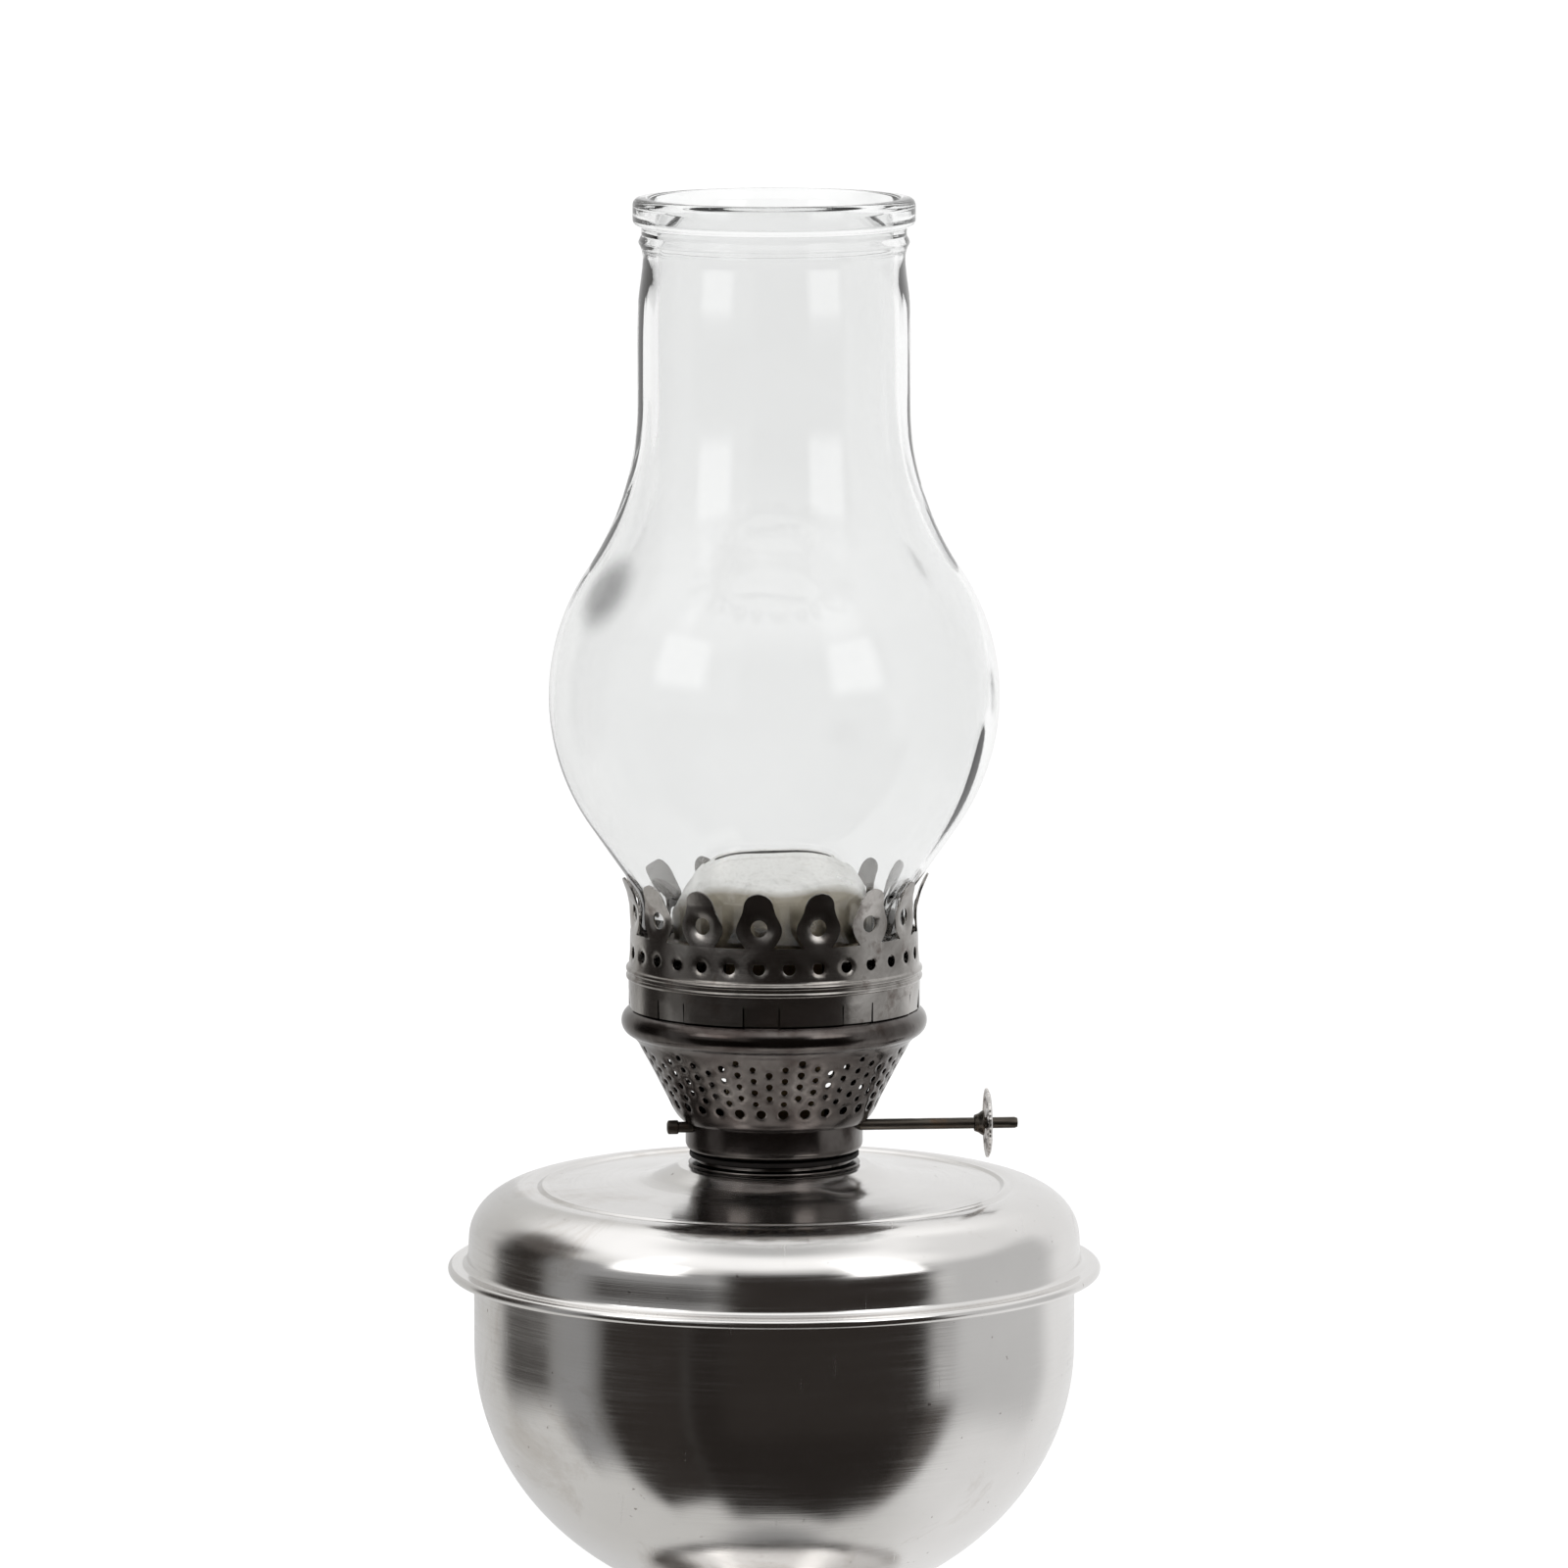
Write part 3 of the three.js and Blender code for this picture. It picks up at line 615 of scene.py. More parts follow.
# ------------------------------------------------------------------ pieces: burner
def burner_base():
    wall = 0.8
    opening, sleeve = 14.6, 20.1
    foot, rim = SEAM + 23, SEAM + 43.6
    fillet = 4.5
    return lathe("burner_cup", rounded([
        (opening, BASE_Z), (sleeve - wall, BASE_Z), (sleeve - wall, foot), (sleeve, foot),
        (sleeve, BASE_Z), (BASE_R, BASE_Z, fillet), (BASE_R, rim), (BASE_R - wall, rim),
        (BASE_R - wall, BASE_Z + wall, fillet - wall), (opening, BASE_Z + wall), (opening, BASE_Z)]))


def basket_rail():
    cone = curve_through([(r, SEAM + z) for r, z in (
        (26.2, 41.4), (27.5, 42.7), (28.9, 44.8), (30.4, 48.0), (32.1, 51.3), (34.0, 55.0), (35.8, 58.4),
        (37.6, 61.7), (38.9, 64.3))], 5)
    bead = arc(39.4, SEAM + 70, 4.15, -72, 74, 22)
    collar = rounded([(39.9, SEAM + 74.2), (40.1, SEAM + 75.4, 1.0), (40.2, SEAM + 80.5)])
    return Rail(cone + bead + collar)


def basket():
    """The air basket: staggered columns of four small holes over a row of larger ones."""
    columns, rows, small_r = 50, 4, 0.98
    large, large_r = 30, 1.42
    rail = basket_rail()
    middle_r = 34.0
    width = 2 * math.pi * middle_r
    top_row = rail.distance_to_height(SEAM + 63.0)
    bottom_row = rail.distance_to_height(SEAM + 47.3)
    pitch = 4.05
    holes = []
    for c in range(columns):
        x = width * (c + 0.5) / columns
        for r in range(c % 4 == 0, rows):
            y = top_row - r * pitch - (c % 2) * pitch / 2
            holes.append((x, y, small_r + rng.uniform(-0.12, 0.08)))
    for c in range(large):
        holes.append((width * (c + 0.5) / large, bottom_row, large_r + rng.uniform(-0.1, 0.1)))
    return punched("air_basket", rail, width, holes, 1.15, lambda y: 0.45 if y > top_row + 1.6 else 1.0)


def punched(name, rail, width, holes, spacing, row_step):
    """A band of sheet wrapped round the axis along a rail, with round holes whose rims turn inwards."""
    dish_depth, dish_width = 0.28, 0.45
    loops = []
    for x, y, radius in holes:
        local = rail.at(y)[0] / (width / (2 * math.pi))
        loops.append([(x + (px - x) / local, py) for px, py in circle(x, y, radius, 14)])
    count = round(width / spacing)
    ys = [0.0]
    while ys[-1] < rail.length - 1e-6:
        ys.append(min(rail.length, ys[-1] + row_step(ys[-1])))
    xs = [width * k / count for k in range(count + 1)]
    table = np.array(holes)
    free = []
    for y in ys[1:-1]:
        free += [(x, y) for x in xs[1:-1] if clear_of(holes_near(table, x, y, 3), x, y, 1.0, 0.4)]
    boundary = ([(x, 0.0) for x in xs] + [(width, y) for y in ys[1:]]
                + [(x, rail.length) for x in xs[-2::-1]] + [(0.0, y) for y in ys[-2:0:-1]])

    def keep(x, y):
        local = rail.at(y)[0] * 2 * math.pi / width
        return all(math.hypot((x - hx) * local, y - hy) > hr * HOLE_TRIM
                   for hx, hy, hr in holes_near(table, x, y, 2.2))

    def place(x, y):
        r, z = rail.at(y)
        a = 2 * math.pi * x / width
        for hx, hy, hr in holes_near(table, x, y, 3):
            rim = max(0.0, math.hypot(x - hx, y - hy) - hr)
            r -= dish_depth * math.exp(-(rim / dish_width) ** 2)
        r += 0.10 * ripple(a, 3, z / 9)
        return *polar(r, a), z
    verts, faces = cut_sheet(boundary, loops, free, keep)
    return wrapped_sheet(name, verts, faces, place, BURNER_SHEET)


# ------------------------------------------------------------------ pieces: gallery
PRONG_OUTLINE = np.array(curve_through(
    [(3.9, 0.0), (5.4, 1.9), (6.5, 4.2), (6.5, 6.3), (5.5, 8.4), (4.5, 10.8), (4.1, 12.8), (3.3, 14.5),
     (1.9, 15.7), (0.0, PRONG_LENGTH)], 6))


def prong_half_width(v):
    """Half the width of a prong at a height above its root."""
    return float(np.interp(v, PRONG_OUTLINE[:, 1], PRONG_OUTLINE[:, 0]))


def gallery_rail():
    r = GALLERY_R
    bead = 0.85
    lower, upper = SEAM + 83.0, SEAM + 85.1
    points = rounded([(r, SKIRT_Z), (r, lower - bead)])
    points += arc(r - 0.15, lower, bead, -70, 62, 8)
    points += arc(r - 0.15, upper, bead, -62, 70, 8)
    points += rounded([(r - 0.1, upper + bead + 0.3, 0.6), (r - 0.3, SEAM + 89, 4),
                       (r - 0.6, PRONG_ROOT_Z, 6), (r - 0.5, PRONG_ROOT_Z + 7, 6),
                       (r + 0.3, PRONG_ROOT_Z + 11.5, 6),
                       (r + 2.0, PRONG_TIP_Z + 0.1)])
    return Rail(resampled(points, 0.7))


def gallery_ring():
    rail = gallery_rail()
    width = 2 * math.pi * GALLERY_R
    pitch = width / PRONGS
    root = rail.distance_to_height(PRONG_ROOT_Z)
    tip = root + PRONG_LENGTH
    air_row, air_r = rail.distance_to_height(SEAM + 90.4), 1.78
    prong_x = [pitch * (k + 0.5) for k in range(PRONGS)]
    prong_hole_r = 2.45
    holes = [(x, root + 5.7, prong_hole_r) for x in prong_x]
    holes += [(pitch / 2 * k, air_row, air_r) for k in range(1, 2 * PRONGS)]
    table = np.array(holes + [(0.0, air_row, air_r), (width, air_row, air_r)])
    slit_high, slit_half = 5.4, 0.22
    first_tongue, tongue_step, tongue_half = 21, 40, 7
    slits = sorted(width * (turn + side * tongue_half) / 360
                   for turn in range(first_tongue, 360, tongue_step) for side in (-1, 1))

    bottom = [0.0]
    for s in slits:
        bottom += [s - slit_half, s + slit_half]
    bottom.append(width)
    boundary = []
    for start, end in zip(bottom[0::2], bottom[1::2]):
        boundary += resampled([(start, 0.0), (end, 0.0)], 1.3)
        if end < width:
            boundary += resampled([(end, 0.0), (end, slit_high), (end + 2 * slit_half, slit_high),
                                   (end + 2 * slit_half, 0.0)], 1.0)[1:-1]
    notch = arc(0.0, air_row, air_r, -90, 90, 9)
    seam = [(0.0, y) for y in rail.marks if 0 < y < air_row - air_r - 0.1]
    seam += notch
    seam += [(0.0, y) for y in rail.marks if air_row + air_r + 0.1 < y < root - 0.3]
    boundary += [(width - x, y) for x, y in seam]
    heights = [0.0, 0.5, 1.1, *np.linspace(1.8, PRONG_LENGTH - 1.7, 18), PRONG_LENGTH - 1.0,
               PRONG_LENGTH - 0.5, PRONG_LENGTH - 0.2]
    for x in reversed(prong_x):
        boundary.append((x + pitch / 2, root))
        boundary += [(x + prong_half_width(v), root + v) for v in heights]
        boundary.append((x, tip))
        boundary += [(x - prong_half_width(v), root + v) for v in reversed(heights)]
    boundary.append((0.0, root))
    boundary += reversed(seam)

    def prong_at(x):
        return min(PRONGS - 1, max(0, int(x / pitch)))

    def inside(x, y, margin=0.0):
        if y < slit_high + margin and min(abs(x - s) for s in slits) < slit_half + margin:
            return False
        if y > root - margin and abs(x - prong_x[prong_at(x)]) > prong_half_width(y - root) - margin:
            return False
        return y < tip - margin

    free = []
    columns = 240
    for y in rail.marks[1:-1]:
        for x in (width * k / columns for k in range(1, columns)):
            if inside(x, y, 0.35) and clear_of(holes_near(table, x, y, 3), x, y, 1.0, 0.4):
                free.append((x, y))

    def keep(x, y):
        return clear_of(holes_near(table, x, y, 2.4), x, y) and inside(x, y, -0.05 if y > root else 0.0)

    lean = [rng.uniform(-0.5, 0.6) for _ in prong_x]
    twist = [rng.uniform(-0.05, 0.05) for _ in prong_x]
    boss_depth, boss_width = 1.3, 3.1
    dish_depth, dish_width = 0.25, 0.5
    spring = 0.30

    def place(x, y):
        r, z = rail.at(y)
        index = prong_at(x)
        across = x - prong_x[index]
        v = y - root
        for hx, hy, hr in holes_near(table, x, y, 6):
            away = math.hypot(x - hx, y - hy)
            if hy > root:
                r -= boss_depth * math.exp(-(away / boss_width) ** 2)
            else:
                r -= dish_depth * math.exp(-(max(0.0, away - hr) / dish_width) ** 2)
        if v > 0:
            r += lean[index] * (v / PRONG_LENGTH) ** 2 + twist[index] * across * v / PRONG_LENGTH
        if y < slit_high:
            turn = (x / width * 360 - first_tongue + tongue_step / 2) % tongue_step - tongue_step / 2
            if abs(turn) < tongue_half:
                r -= spring * (1 - y / slit_high)
        a = 2 * math.pi * x / width + PRONG_START - math.pi / PRONGS
        r += 0.10 * ripple(a, 2.5, z / 12)
        return *polar(r, a), z
    loops = [circle(x, y, radius, 18) for x, y, radius in holes]
    verts, faces = cut_sheet(boundary, loops, free, keep)
    return wrapped_sheet("pronged_gallery", verts, faces, place, BURNER_SHEET)


def diffuser_plate():
    radius = high("diffuser_plate").x
    slot_x, slot_y = 14.5, 3.7
    holes = []
    for ring_r, count, phase, hole_r in ((33.4, 36, 0.0, 1.6), (20.5, 16, 0.5, 1.8)):
        holes += [(*polar(ring_r, a), hole_r) for a in (np.arange(count) + phase) * 2 * math.pi / count]
    slot = resampled([(-slot_x, -slot_y), (slot_x, -slot_y), (slot_x, slot_y), (-slot_x, slot_y),
                      (-slot_x, -slot_y)], 2)[:-1]
    boundary = circle(0, 0, radius, 120)

    def in_slot(x, y, margin=0.0):
        return abs(x) < slot_x + margin and abs(y) < slot_y + margin

    def keep(x, y):
        return not in_slot(x, y) and clear_of(holes, x, y)
    loops = [circle(x, y, r, 14) for x, y, r in holes] + [slot]
    steps = np.arange(-40, 41, 2.5)
    grid = [(x, y) for x in steps for y in steps
            if math.hypot(x, y) < radius - 1 and not in_slot(x, y, 0.5) and clear_of(holes, x, y, 1.0, 0.5)]
    verts, faces = cut_sheet(boundary, loops, grid, keep)
    return wrapped_sheet("air_diffuser", verts, faces, lambda x, y: (x, y, SEAT_Z), 0.8)


def dome():
    """The deflector: a rounded skirt and a nearly elliptical crown, front and back pressed into two
    slopes that meet at the wick slot. It is cut flat, with distance from the centre as distance along
    the crown's outline, then bent into shape."""
    foot = SEAT_Z + 0.5
    fullness = 2 / 2.2
    crown_points = 61
    crown = [(DOME_R * math.sin(t) ** fullness, DOME_SPRING_Z + DOME_HEIGHT * math.cos(t) ** fullness)
             for t in np.linspace(0, math.pi / 2, crown_points)[:-1]] + [(DOME_R, DOME_SPRING_Z)]
    skirt = rounded([(DOME_R, DOME_SPRING_Z), (DOME_R, foot + 0.6, 0.9), (30.3, foot + 0.55)])[1:]
    rail = Rail(crown + resampled(skirt, 1.5))
    ridge = high("deflector_dome").z
    crease_height, lip_height = 0.4, 0.5

    def flat(x, y):
        r = math.hypot(x, y)
        s = float(np.interp(r, rail.points[:crown_points, 0], rail.marks[:crown_points]))
        return x * s / r, y * s / r

    def unfold(x, y):
        s = math.hypot(x, y)
        r, z = rail.at(s)
        return (x * r / s, y * r / s, z) if s > 1e-9 else (0.0, 0.0, z)
    corner = 1.2
    corners = []
    for side_x, side_y, start in ((1, 1, 0), (-1, 1, 90), (-1, -1, 180), (1, -1, 270)):
        corners += arc(side_x * (SLOT_X - corner), side_y * (SLOT_Y - corner), corner, start, start + 90, 4)
    slot = [flat(x, y) for x, y in resampled(corners + corners[:1], 1.2)[:-1]]
    segments = 150
    boundary = circle(0, 0, rail.length, segments)
    slot_r = math.hypot(SLOT_X, SLOT_Y)
    free = []
    for s in rail.marks[2:-1]:
        count = max(24, int(segments * min(1.0, s / 22)))
        r = rail.at(s)[0]
        for k in range(count):
            a = 2 * math.pi * (k + 0.5 * (int(s * 10) % 2)) / count
            px, py = polar(r, a)
            if r >= slot_r + 1 or abs(px) >= SLOT_X + 0.5 or abs(py) >= SLOT_Y + 0.5:
                free.append(polar(s, a))

    def keep(x, y):
        px, py, _ = unfold(x, y)
        return abs(px) >= SLOT_X - 0.05 or abs(py) >= SLOT_Y - 0.05

    def place(x, y):
        px, py, z = unfold(x, y)
        roof = ridge - ROOF_SLOPE * max(0.0, abs(py) - SLOT_Y) - ROOF_CROWNING * px ** 4
        crease = crease_height * math.exp(-((z - roof) / 0.7) ** 2)
        z = min(z, roof) + crease + 0.25 * noise.noise(Vector((px / 9, py / 9, z / 9)))
        if abs(px) < SLOT_X + 3 and abs(py) < SLOT_Y + 2.2:
            edge = max(0.0, max(abs(px) - SLOT_X, abs(py) - SLOT_Y))
            z -= lip_height * (1 - math.exp(-(edge / 0.8) ** 2))
        return px, py, z
    verts, faces = cut_sheet(boundary, [slot], free, keep)
    return wrapped_sheet("flame_deflector", verts, faces, place, BURNER_SHEET, 60.0)


# ------------------------------------------------------------------ pieces: wick and its raiser
def prism(name, outline, depth, holes, bevel):
    """A plate cut from a closed flat outline, drawn out along z."""
    def keep(x, y):
        return clear_of(holes, x, y)
    verts, faces = cut_sheet(outline, [circle(x, y, r, 20) for x, y, r in holes], [], keep, inside_only=True)
    obj = mesh_object(name, [(x, y, depth / 2) for x, y in verts], faces)
    thicken(obj, depth)
    edge = obj.modifiers.new("edge", "BEVEL")
    edge.width = bevel * MM
    edge.segments = 2
    edge.limit_method = "ANGLE"
    apply_modifiers(obj)
    return obj


def spur_wheel(name, x):
    teeth, tip, root = 20, 5.1, 3.7
    outline = []
    for k in range(teeth // 2):
        for part, r in ((0.0, root), (0.28, root), (0.44, tip), (0.56, tip), (0.72, root)):
            outline.append(polar(r, 2 * math.pi * (k + part) / (teeth // 2)))
    return along_x(prism(name, outline, 0.9, holes=[(0, 0, 1.9)], bevel=0.08), x)


def thumbwheel():
    """A pressed disc with a rolled rim, a raised hub and a ring of pierced windows."""
    thick = 0.55
    bore = 1.9
    windows = 8
    near, far = 4.6, 7.5        # a window's reach from the centre
    left, right = 0.17, 0.83    # its edges, as shares of the pitch

    def inside_window(x, y):
        turn = (math.atan2(y, x) / (2 * math.pi) * windows) % 1.0
        return near < math.hypot(x, y) < far and left < turn < right
    boundary = circle(0, 0, WHEEL_R - 0.1, 120)
    loops = [circle(0, 0, bore, 24)]
    for k in range(windows):
        turns = [2 * math.pi * (k + t) / windows for t in np.linspace(left, right, 9)]
        loops.append([polar(far, a) for a in turns] + [polar(near, a) for a in turns[::-1]])
    free = []
    for r in (2.4, 2.9, 3.4, 3.9, 4.25, 7.85, 8.2, 8.55, 8.9, 9.2, 9.5):
        free += circle(0, 0, r, int(14 * r))

    def keep(x, y):
        return clear_of([(0, 0, bore)], x, y) and not inside_window(x, y)

    def place(x, y):
        r = math.hypot(x, y)
        hub = 0.45 * math.exp(-((r - 3.1) / 0.9) ** 2)
        rim = 0.55 * math.exp(-((r - 8.7) / 0.55) ** 2)
        knurl = 0.12 * math.cos(math.atan2(y, x) * 48) if r > 9.6 else 0.0
        grow = (r + knurl) / r
        return x * grow, y * grow, thick / 2 - 0.35 + hub + rim
    verts, faces = cut_sheet(boundary, loops, free, keep)
    return along_x(wrapped_sheet("wick_thumbwheel", verts, faces, place, thick), WHEEL_X)


def spindle():
    """A drawn rod, slightly flattened, with an upset button at its far end and a cut end outboard."""
    start, end = low("spindle").x, high("spindle").x
    rod, head = 1.6, 2.05
    button = rounded([(1.2, start), (head, start + 0.3, 0.5), (head, start + 3.1, 0.4), (rod, start + 3.3)])
    shaft = resampled([(rod, start + 3.4), (rod, end - 1)], 2.0)
    outline = [(0, start), *button, *shaft, (1.35, end - 0.25), (0, end)]

    def wobble(r, z, a, index):
        flat = 0.04 * math.cos(2 * a) if start + 4 < z < end - 1 else 0.0
        return flat - 0.05 + 0.04 * ripple(a, 1, z / 3)
    return along_x(lathe("wick_spindle", outline, 32, wobble))


def spindle_hub():
    x0, x1 = low("thumbwheel_hub").x, high("thumbwheel_hub").x
    bore, flange = 1.9, 3.5
    return along_x(lathe("crimped_hub", rounded([
        (bore, x0), (2.3, x0, 0.3), (2.7, x0 + 1.2, 1.0), (flange, x1 - 0.5, 0.4), (flange, x1, 0.2),
        (bore, x1), (bore, x0)]), 48))


def stadium_line(half_width, half_depth, steps=14):
    middle = half_width - half_depth
    return arc(middle, 0, half_depth, -90, 90, steps) + arc(-middle, 0, half_depth, 90, 270, steps)


def loft(name, loops, close_ends):
    """Joins closed loops of 3-D points, each with as many points as the last. Without closed ends the
    last loop is joined to the first."""
    verts = [p for loop in loops for p in loop]
    n = len(loops[0])
    rows = [list(range(k * n, (k + 1) * n)) for k in range(len(loops))]
    if not close_ends:
        rows.append(rows[0])
    faces = [(below[i - 1], below[i], above[i], above[i - 1])
             for below, above in zip(rows, rows[1:]) for i in range(n)]
    if close_ends:
        faces += [rows[0][::-1], rows[-1]]
    return mesh_object(name, verts, faces)


def wick():
    """A woven tape: cords stand proud along it, and its top edge is trimmed a little unevenly."""
    z0, z1 = low("wick").z, high("wick").z
    outline = stadium_line(12.55, 1.35, 10)
    outline = resampled(outline + outline[:1], 0.55)[:-1]
    loops = []
    for z in (*np.linspace(z0, z1 - 6, 60), *np.linspace(z1 - 5.5, z1 - 0.4, 12)):
        loop = []
        for x, y in outline:
            cord = 1 + 0.06 * math.cos(x * 2 * math.pi / 1.15)
            drift = 0.045 * math.sin(z / 23 + 0.4)
            ragged = 0.35 * noise.noise(Vector((x / 1.1, 0, 3))) if z > z1 - 1.5 else 0.0
            loop.append((x, y * cord + drift, z + ragged))
        loops.append(loop)
    return loft("cotton_wick", loops, True)


def wick_tube():
    z0, z1 = low("wick_tube").z, high("wick_tube").z
    outer = stadium_line(13.8, 2.7)
    inner = stadium_line(13.2, 2.1)
    flare = [(1.0, z0), (1.0, z1 - 1.2), (1.008, z1 - 0.3), (1.0, z1)]
    loops = [[(x * k, y * k, z) for x, y in outer] for k, z in flare]
    loops += [[(x, y, z) for x, y in inner] for z in (z1, z0)]
    return loft("flat_wick_tube", loops, False)


def vent_tube():
    z0, z1 = low("vent_tube").z, high("vent_tube").z
    bore, outer = 1.4, 1.95
    behind_wick = 10
    tube = lathe("vent_pipe", [(bore, z0), (outer, z0), (outer, z1), (bore, z1)], 32)
    tube.data.transform(Matrix.Translation((0, behind_wick * MM, 0)))
    return tube


# ------------------------------------------------------------------ pieces: chimney
def chimney_face(base_z, base_r, bulb_r, neck_r, steps):
    bulb_z = SEAM + 163
    neck_fillet, foot_fillet = 85.0, 14.0
    lean = 35
    slope = math.radians(lean)
    join_r, join_z = bulb_r * math.cos(slope), bulb_z - bulb_r * math.sin(slope)
    corner_z = join_z - (join_r - base_r) / math.tan(slope)
    foot_z = corner_z - foot_fillet * math.tan(slope / 2)
    rise = math.degrees(math.acos((neck_r + neck_fillet) / (bulb_r + neck_fillet)))
    neck_z = bulb_z + (bulb_r + neck_fillet) * math.sin(math.radians(rise))
    return [(base_r, base_z), *arc(base_r + foot_fillet, foot_z, foot_fillet, 180, 180 - lean, steps // 4),
            *arc(0, bulb_z, bulb_r, -lean, rise, steps),
            *arc(neck_r + neck_fillet, neck_z, neck_fillet, 180 + rise, 180, steps // 2)[1:]]


def chimney():
    base, top = low("chimney_glass").z, high("chimney_glass").z
    neck, rim = 38.7, 40.0
    foot, bulb = 38.0, 64.0
    outer = chimney_face(base, foot, bulb, neck, 40)
    inner = chimney_face(base, foot - 2.6, bulb - 2.2, neck - 5.8, 36)
    waist = top - 17
    outer = resampled(outer, 4) + curve_through([
        (neck, waist - 22), (neck - 0.35, waist - 12), (neck - 1.2, waist - 5), (neck - 1.6, waist),
        (neck - 1.1, waist + 2.6), (neck - 0.4, waist + 4.2), (neck - 0.6, waist + 5.2),
        (neck - 1.2, waist + 6.4)], 4)
    lip = rounded([(neck - 1.2, waist + 6.6), (neck - 1.2, top - 8.2, 0.8), (rim, top - 7.4, 1.6),
                   (rim, top - 0.1, 2.6), (neck - 3.0, top, 1.4), (neck - 4.7, top - 3, 3),
                   (neck - 5.4, top - 12, 8), (neck - 5.8, top - 26)])
    outline = outer + lip + resampled(inner[::-1], 4)
    outer_count = len(outer) + len(lip) // 2

    def wobble(r, z, a, index):
        if index < outer_count:
            return 0.10 * ripple(a, 1.5, z / 40)
        fade = min(1.0, max(0.0, (top - 6 - z) / 12), max(0.0, (z - base) / 10))
        return fade * (0.55 * ripple(a, 2.2, z / 55 + 7) + 0.25 * ripple(a, 5, z / 30))
    return lathe("glass_chimney", outline, 256, wobble, 70.0)


# ------------------------------------------------------------------ every piece on its body
def dress(obj, material):
    obj.data.materials.clear()
    obj.data.materials.append(material)


def put(obj, body, slot, material, node):
    dress(obj, material)
    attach(obj, body)
    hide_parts(node)


FONT_METAL, BURNER_METAL, DOME_METAL = font_metal(), burner_metal(), dome_metal()
SOOTED_METAL = sooted_metal()
BRASS, STEEL, WHEEL_METAL = brass_metal(), steel_metal(), wheel_metal()
GASKET, COTTON, GLASS = gasket_rubber(), cotton(), chimney_material()

for make, body, slot, material, node in (
        (foot_shell, "font", "font_metal", FONT_METAL, "foot_shell"),
        (stem_ring, "font", "font_metal", FONT_METAL, "stem_ring"),
        (font_bowl, "font", "font_metal", FONT_METAL, "font_bowl"),
        (font_top, "font", "font_metal", FONT_METAL, "font_top"),
        (font_collar, "font", "burner_metal", SOOTED_METAL, "font_collar"),
        (collar_gasket, "gasket", "gasket", GASKET, "collar_gasket"),
        (burner_base, "burner", "burner_metal", SOOTED_METAL, "burner_base"),
        (basket, "burner", "burner_metal", SOOTED_METAL, "burner_basket"),
        (wick_tube, "burner", "brass", BRASS, "wick_tube"),
        (vent_tube, "burner", "brass", BRASS, "vent_tube"),
        (gallery_ring, "gallery", "burner_metal", BURNER_METAL, "gallery_ring"),
        (diffuser_plate, "gallery", "burner_metal", BURNER_METAL, "diffuser_plate"),
        (dome, "gallery", "dome_metal", DOME_METAL, "deflector_dome"),
        (spindle, "raiser", "steel", STEEL, "spindle"),
        (spindle_hub, "raiser", "steel", STEEL, "thumbwheel_hub"),
        (thumbwheel, "raiser", "wheel_metal", WHEEL_METAL, "thumbwheel"),
        (wick, "wick", "cotton", COTTON, "wick"),
        (chimney, "chimney", "glass", GLASS, "chimney_glass")):
    put(make(), body, slot, material, node)
for side, x in (("left", -8), ("middle", 0), ("right", 8)):
    put(spur_wheel(f"toothed_wheel_{side}", x), "raiser", "steel", STEEL, f"spur_wheel_{side}")
for node, material in (("font_stud", STEEL), ("foot_washer", STEEL), ("foot_nut", STEEL),
                       ("spindle_housing", BRASS)):
    dress(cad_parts[node], material)


# ------------------------------------------------------------------ studio
# The room round the lamp, as patches of brightness: bearing from and to (degrees from -Y towards +X)
# and its softness, elevation from and to and its softness, brightness. Later patches lie over earlier.
ROOM = [
    (60, 400, 40, -60, 45, 15, 0.88),
    (-400, -155, 20, -45, 15, 12, 0.68),
    (62, 122, 8, -24, 32, 8, 0.60),
    (-400, 400, 1, 38, 120, 14, 1.25),
    (-400, 400, 1, 72, 120, 9, 0.58),
    (-99, -76, 5, -40, 24, 8, 0.30),
    (75, 140, 12, 30, 62, 10, 0.90),
    (-100, -26, 6, -5, 26, 4, 0.32),
    (-26, 60, 6, 6, 34, 9, 0.30),
    (-78, -36, 6, -62, -2, 3, 0.032),
    (40, 69, 4, -66, -14, 6, 0.08),
    (-41, 57, 5, -73, -2, 3, 0.022),
    (-24, 55, 5, -30, 27, 7, 0.030),
    (-133, -99, 6, -17, 30, 8, 0.035),
    (-136, -98, 8, 20, 42, 6, 0.12),
    (-66, -57, 6, 34, 58, 8, 2.0),
    (26, 52, 7, 34, 58, 8, 2.0),
    (-400, 400, 1, -120, -79, 5, 0.30),
]


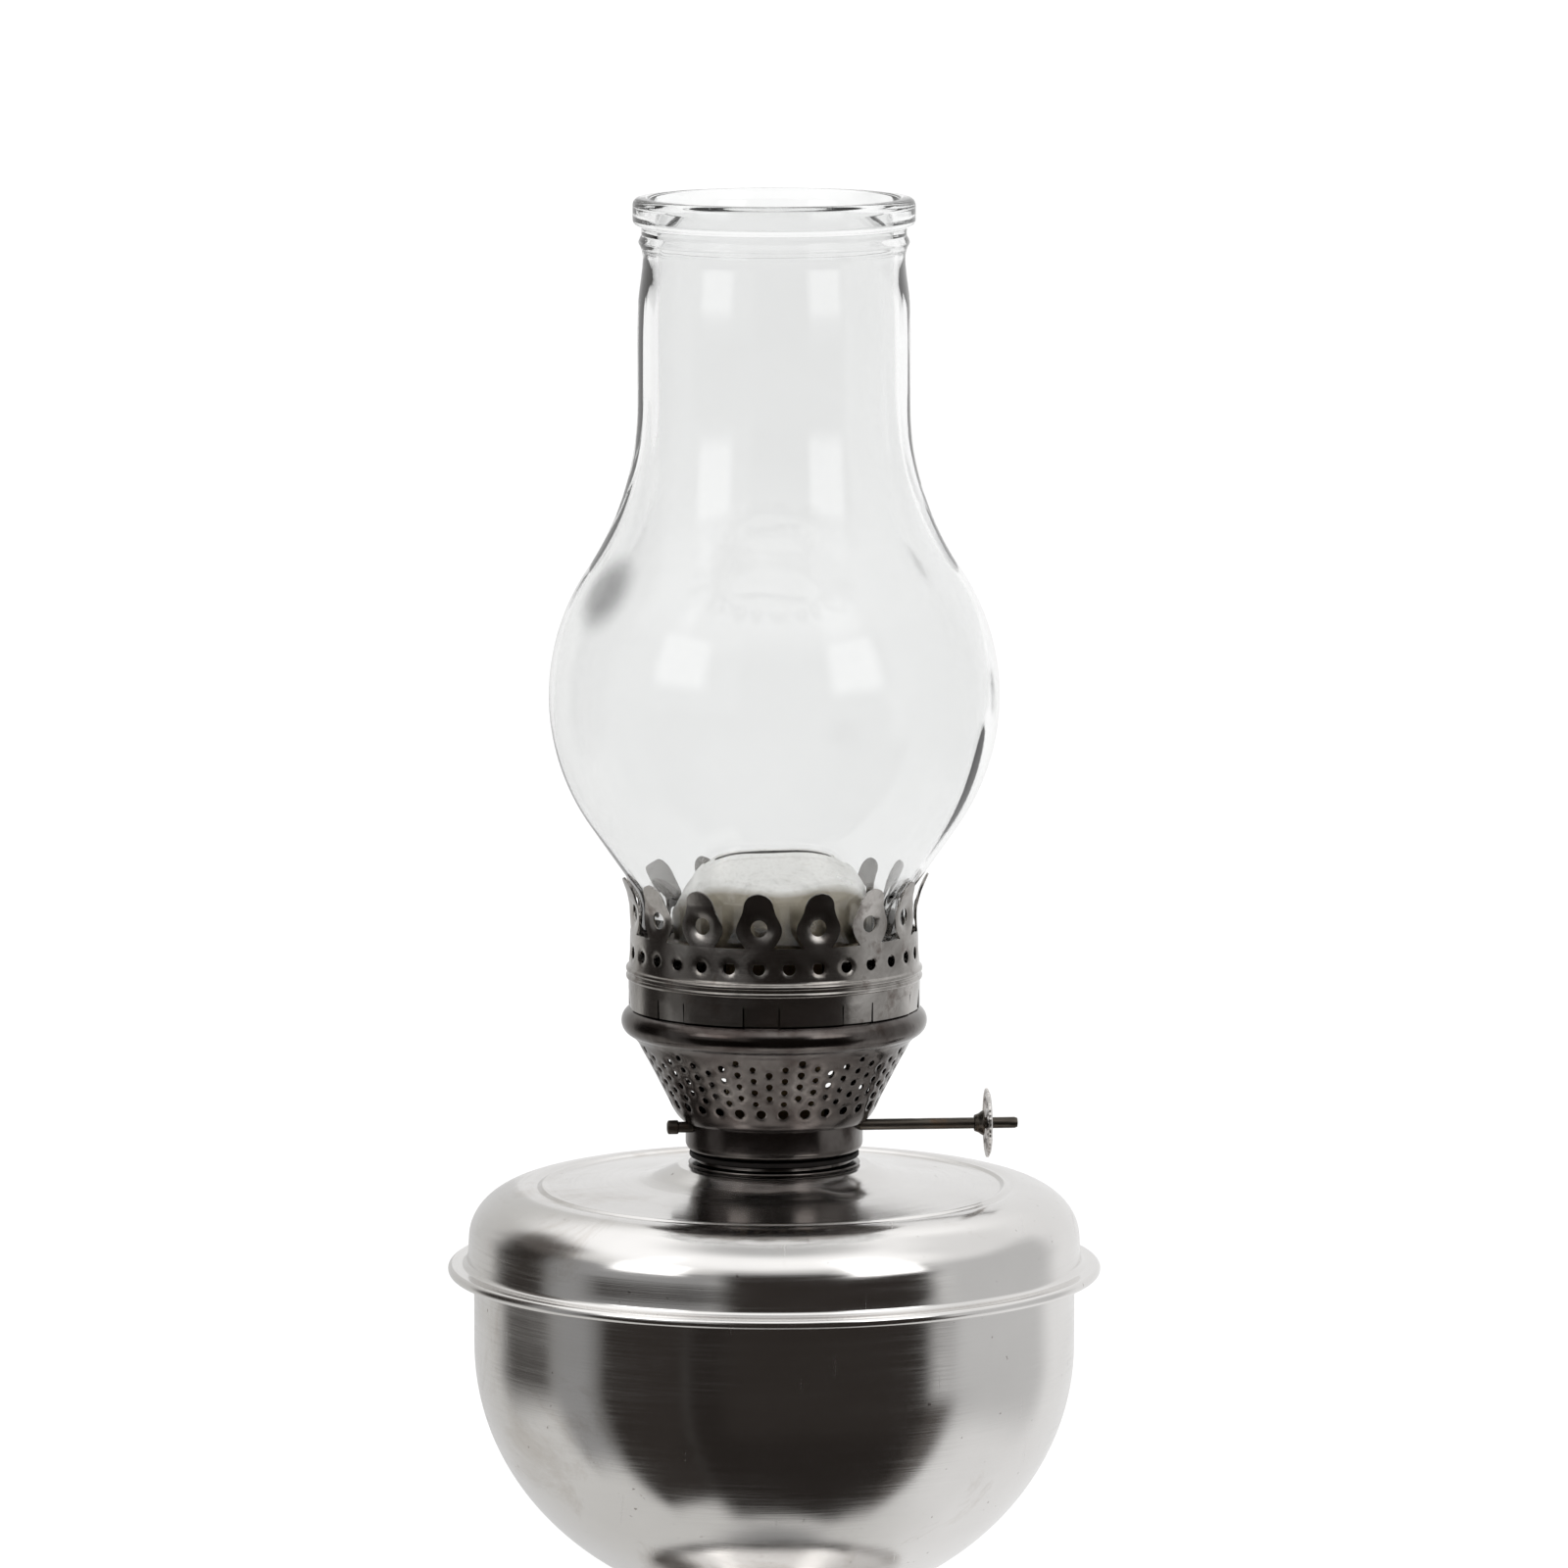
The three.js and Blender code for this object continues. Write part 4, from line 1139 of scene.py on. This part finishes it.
def room_light():
    world = bpy.data.worlds.new("studio_room")
    world.use_nodes = True
    world.cycles.sampling_method = "NONE"
    nodes = Nodes(world.node_tree)
    x, y, z = nodes.xyz(nodes.node("ShaderNodeTexCoord").outputs["Generated"])
    bearing = nodes.math("DEGREES", nodes.math("ARCTAN2", x, nodes.math("MULTIPLY", y, -1.0)))
    elevation = nodes.math("DEGREES", nodes.math("ARCSINE", z))

    def band(value, start, end, soft):
        rise = nodes.ranged(value, start - soft, start + soft, 0.0, 1.0, "SMOOTHSTEP")
        fall = nodes.ranged(value, end - soft, end + soft, 1.0, 0.0, "SMOOTHSTEP")
        return nodes.math("MULTIPLY", rise, fall)
    color = (0.66, 0.655, 0.64, 1)
    for start, end, soft, low_edge, high_edge, fade, bright in ROOM:
        warm = 0.16 * max(0.0, 1 - bright / 0.3)    # dark patches are brownish
        patch = (bright, bright * (1 - warm), bright * (1 - 1.6 * warm), 1)
        mask = nodes.math("MULTIPLY", band(bearing, start, end, soft),
                          band(elevation, low_edge, high_edge, fade))
        color = nodes.mix(mask, color, patch)

    # Past the glass the room is nearly white, and it is all white where nothing shiny has been met.
    path = nodes.node("ShaderNodeLightPath")
    through_glass = nodes.math("GREATER_THAN", path.outputs["Transmission Depth"], 0.5)
    color = nodes.mix(nodes.math("MULTIPLY", through_glass, 0.85), color, (1.25, 1.25, 1.25, 1))
    unreflected = nodes.math("LESS_THAN", path.outputs["Glossy Depth"], 0.5)
    background = nodes.tree.nodes["Background"]
    nodes.link(nodes.mix(unreflected, color, (1.2, 1.2, 1.2, 1)), background.inputs["Color"])
    bpy.context.scene.world = world


def softbox_material():
    """A glow that fades towards the card's edges."""
    s = Shader("softbox", Roughness=1.0, Base_Color=(0, 0, 0, 1), Emission_Color=(1, 1, 1, 1),
               Emission_Strength=2.5)
    across, _, up = s.xyz(s.node("ShaderNodeTexCoord").outputs["Generated"])
    alpha = 1.0
    for value in (across, up):
        for edge, inner in ((0.0, 0.25), (1.0, 0.75)):
            alpha = s.math("MULTIPLY", s.ranged(value, edge, inner, 0.0, 1.0, "SMOOTHSTEP"), alpha)
    s.fill(s.surface, Alpha=alpha)
    return s.material


def card(name, corners, material):
    mesh = bpy.data.meshes.new(name)
    mesh.from_pydata(corners, [], [range(len(corners))])
    mesh.materials.append(material)
    obj = bpy.data.objects.new(name, mesh)
    bpy.context.collection.objects.link(obj)
    return obj


def softbox(name, bearing, z0, z1, material):
    """A bright upright card facing the lamp, seen only in reflections."""
    distance, half_width = 0.85, 0.28
    a = math.radians(bearing)
    foot = Vector((math.sin(a), -math.cos(a))) * distance
    side = Vector((math.cos(a), math.sin(a))) * half_width
    left, right = foot - side, foot + side
    obj = card(name, [(*left, z0), (*right, z0), (*right, z1), (*left, z1)], material)
    obj.visible_camera = False
    obj.visible_diffuse = False
    obj.visible_transmission = False
    obj.visible_shadow = False


def studio():
    room_light()
    reach = 8
    floor = card("floor", [(-reach, -reach, 0), (reach, -reach, 0), (reach, reach, 0), (-reach, reach, 0)],
                 Shader("pale_floor", Roughness=0.7, Base_Color=(0.92, 0.92, 0.915, 1)).material)
    floor.visible_glossy = False
    floor.visible_transmission = False
    glow = softbox_material()
    softbox("softbox_left", -54, 0.39, 0.91, glow)
    softbox("softbox_right", 38, 0.37, 0.91, glow)


def camera():
    """The photograph's viewing angle: a long lens, a little above the lamp and to its left."""
    data = bpy.data.cameras.new("camera")
    data.lens = 236.0
    data.sensor_width = 36.0
    data.clip_end = 60.0
    obj = bpy.data.objects.new("camera", data)
    azimuth, elevation = math.radians(-5.0), math.radians(7.5)
    distance = 2.92
    right = Vector((math.cos(azimuth), math.sin(azimuth), 0))
    away = Vector((math.sin(azimuth) * math.cos(elevation), -math.cos(azimuth) * math.cos(elevation),
                   math.sin(elevation)))
    aim = Vector((0, 0, (SEAM + 137.6) * MM)) + right * 0.0028
    obj.location = aim + away * distance
    obj.rotation_euler = away.to_track_quat("Z", "Y").to_euler()
    bpy.context.collection.objects.link(obj)
    bpy.context.scene.camera = obj


def light_paths():
    """Bounce limits above the defaults, for the two faces of the glass."""
    cycles = bpy.context.scene.cycles
    cycles.glossy_bounces = 12
    cycles.max_bounces = 16


studio()
camera()
light_paths()
bpy.context.scene.view_settings.view_transform = "Standard"
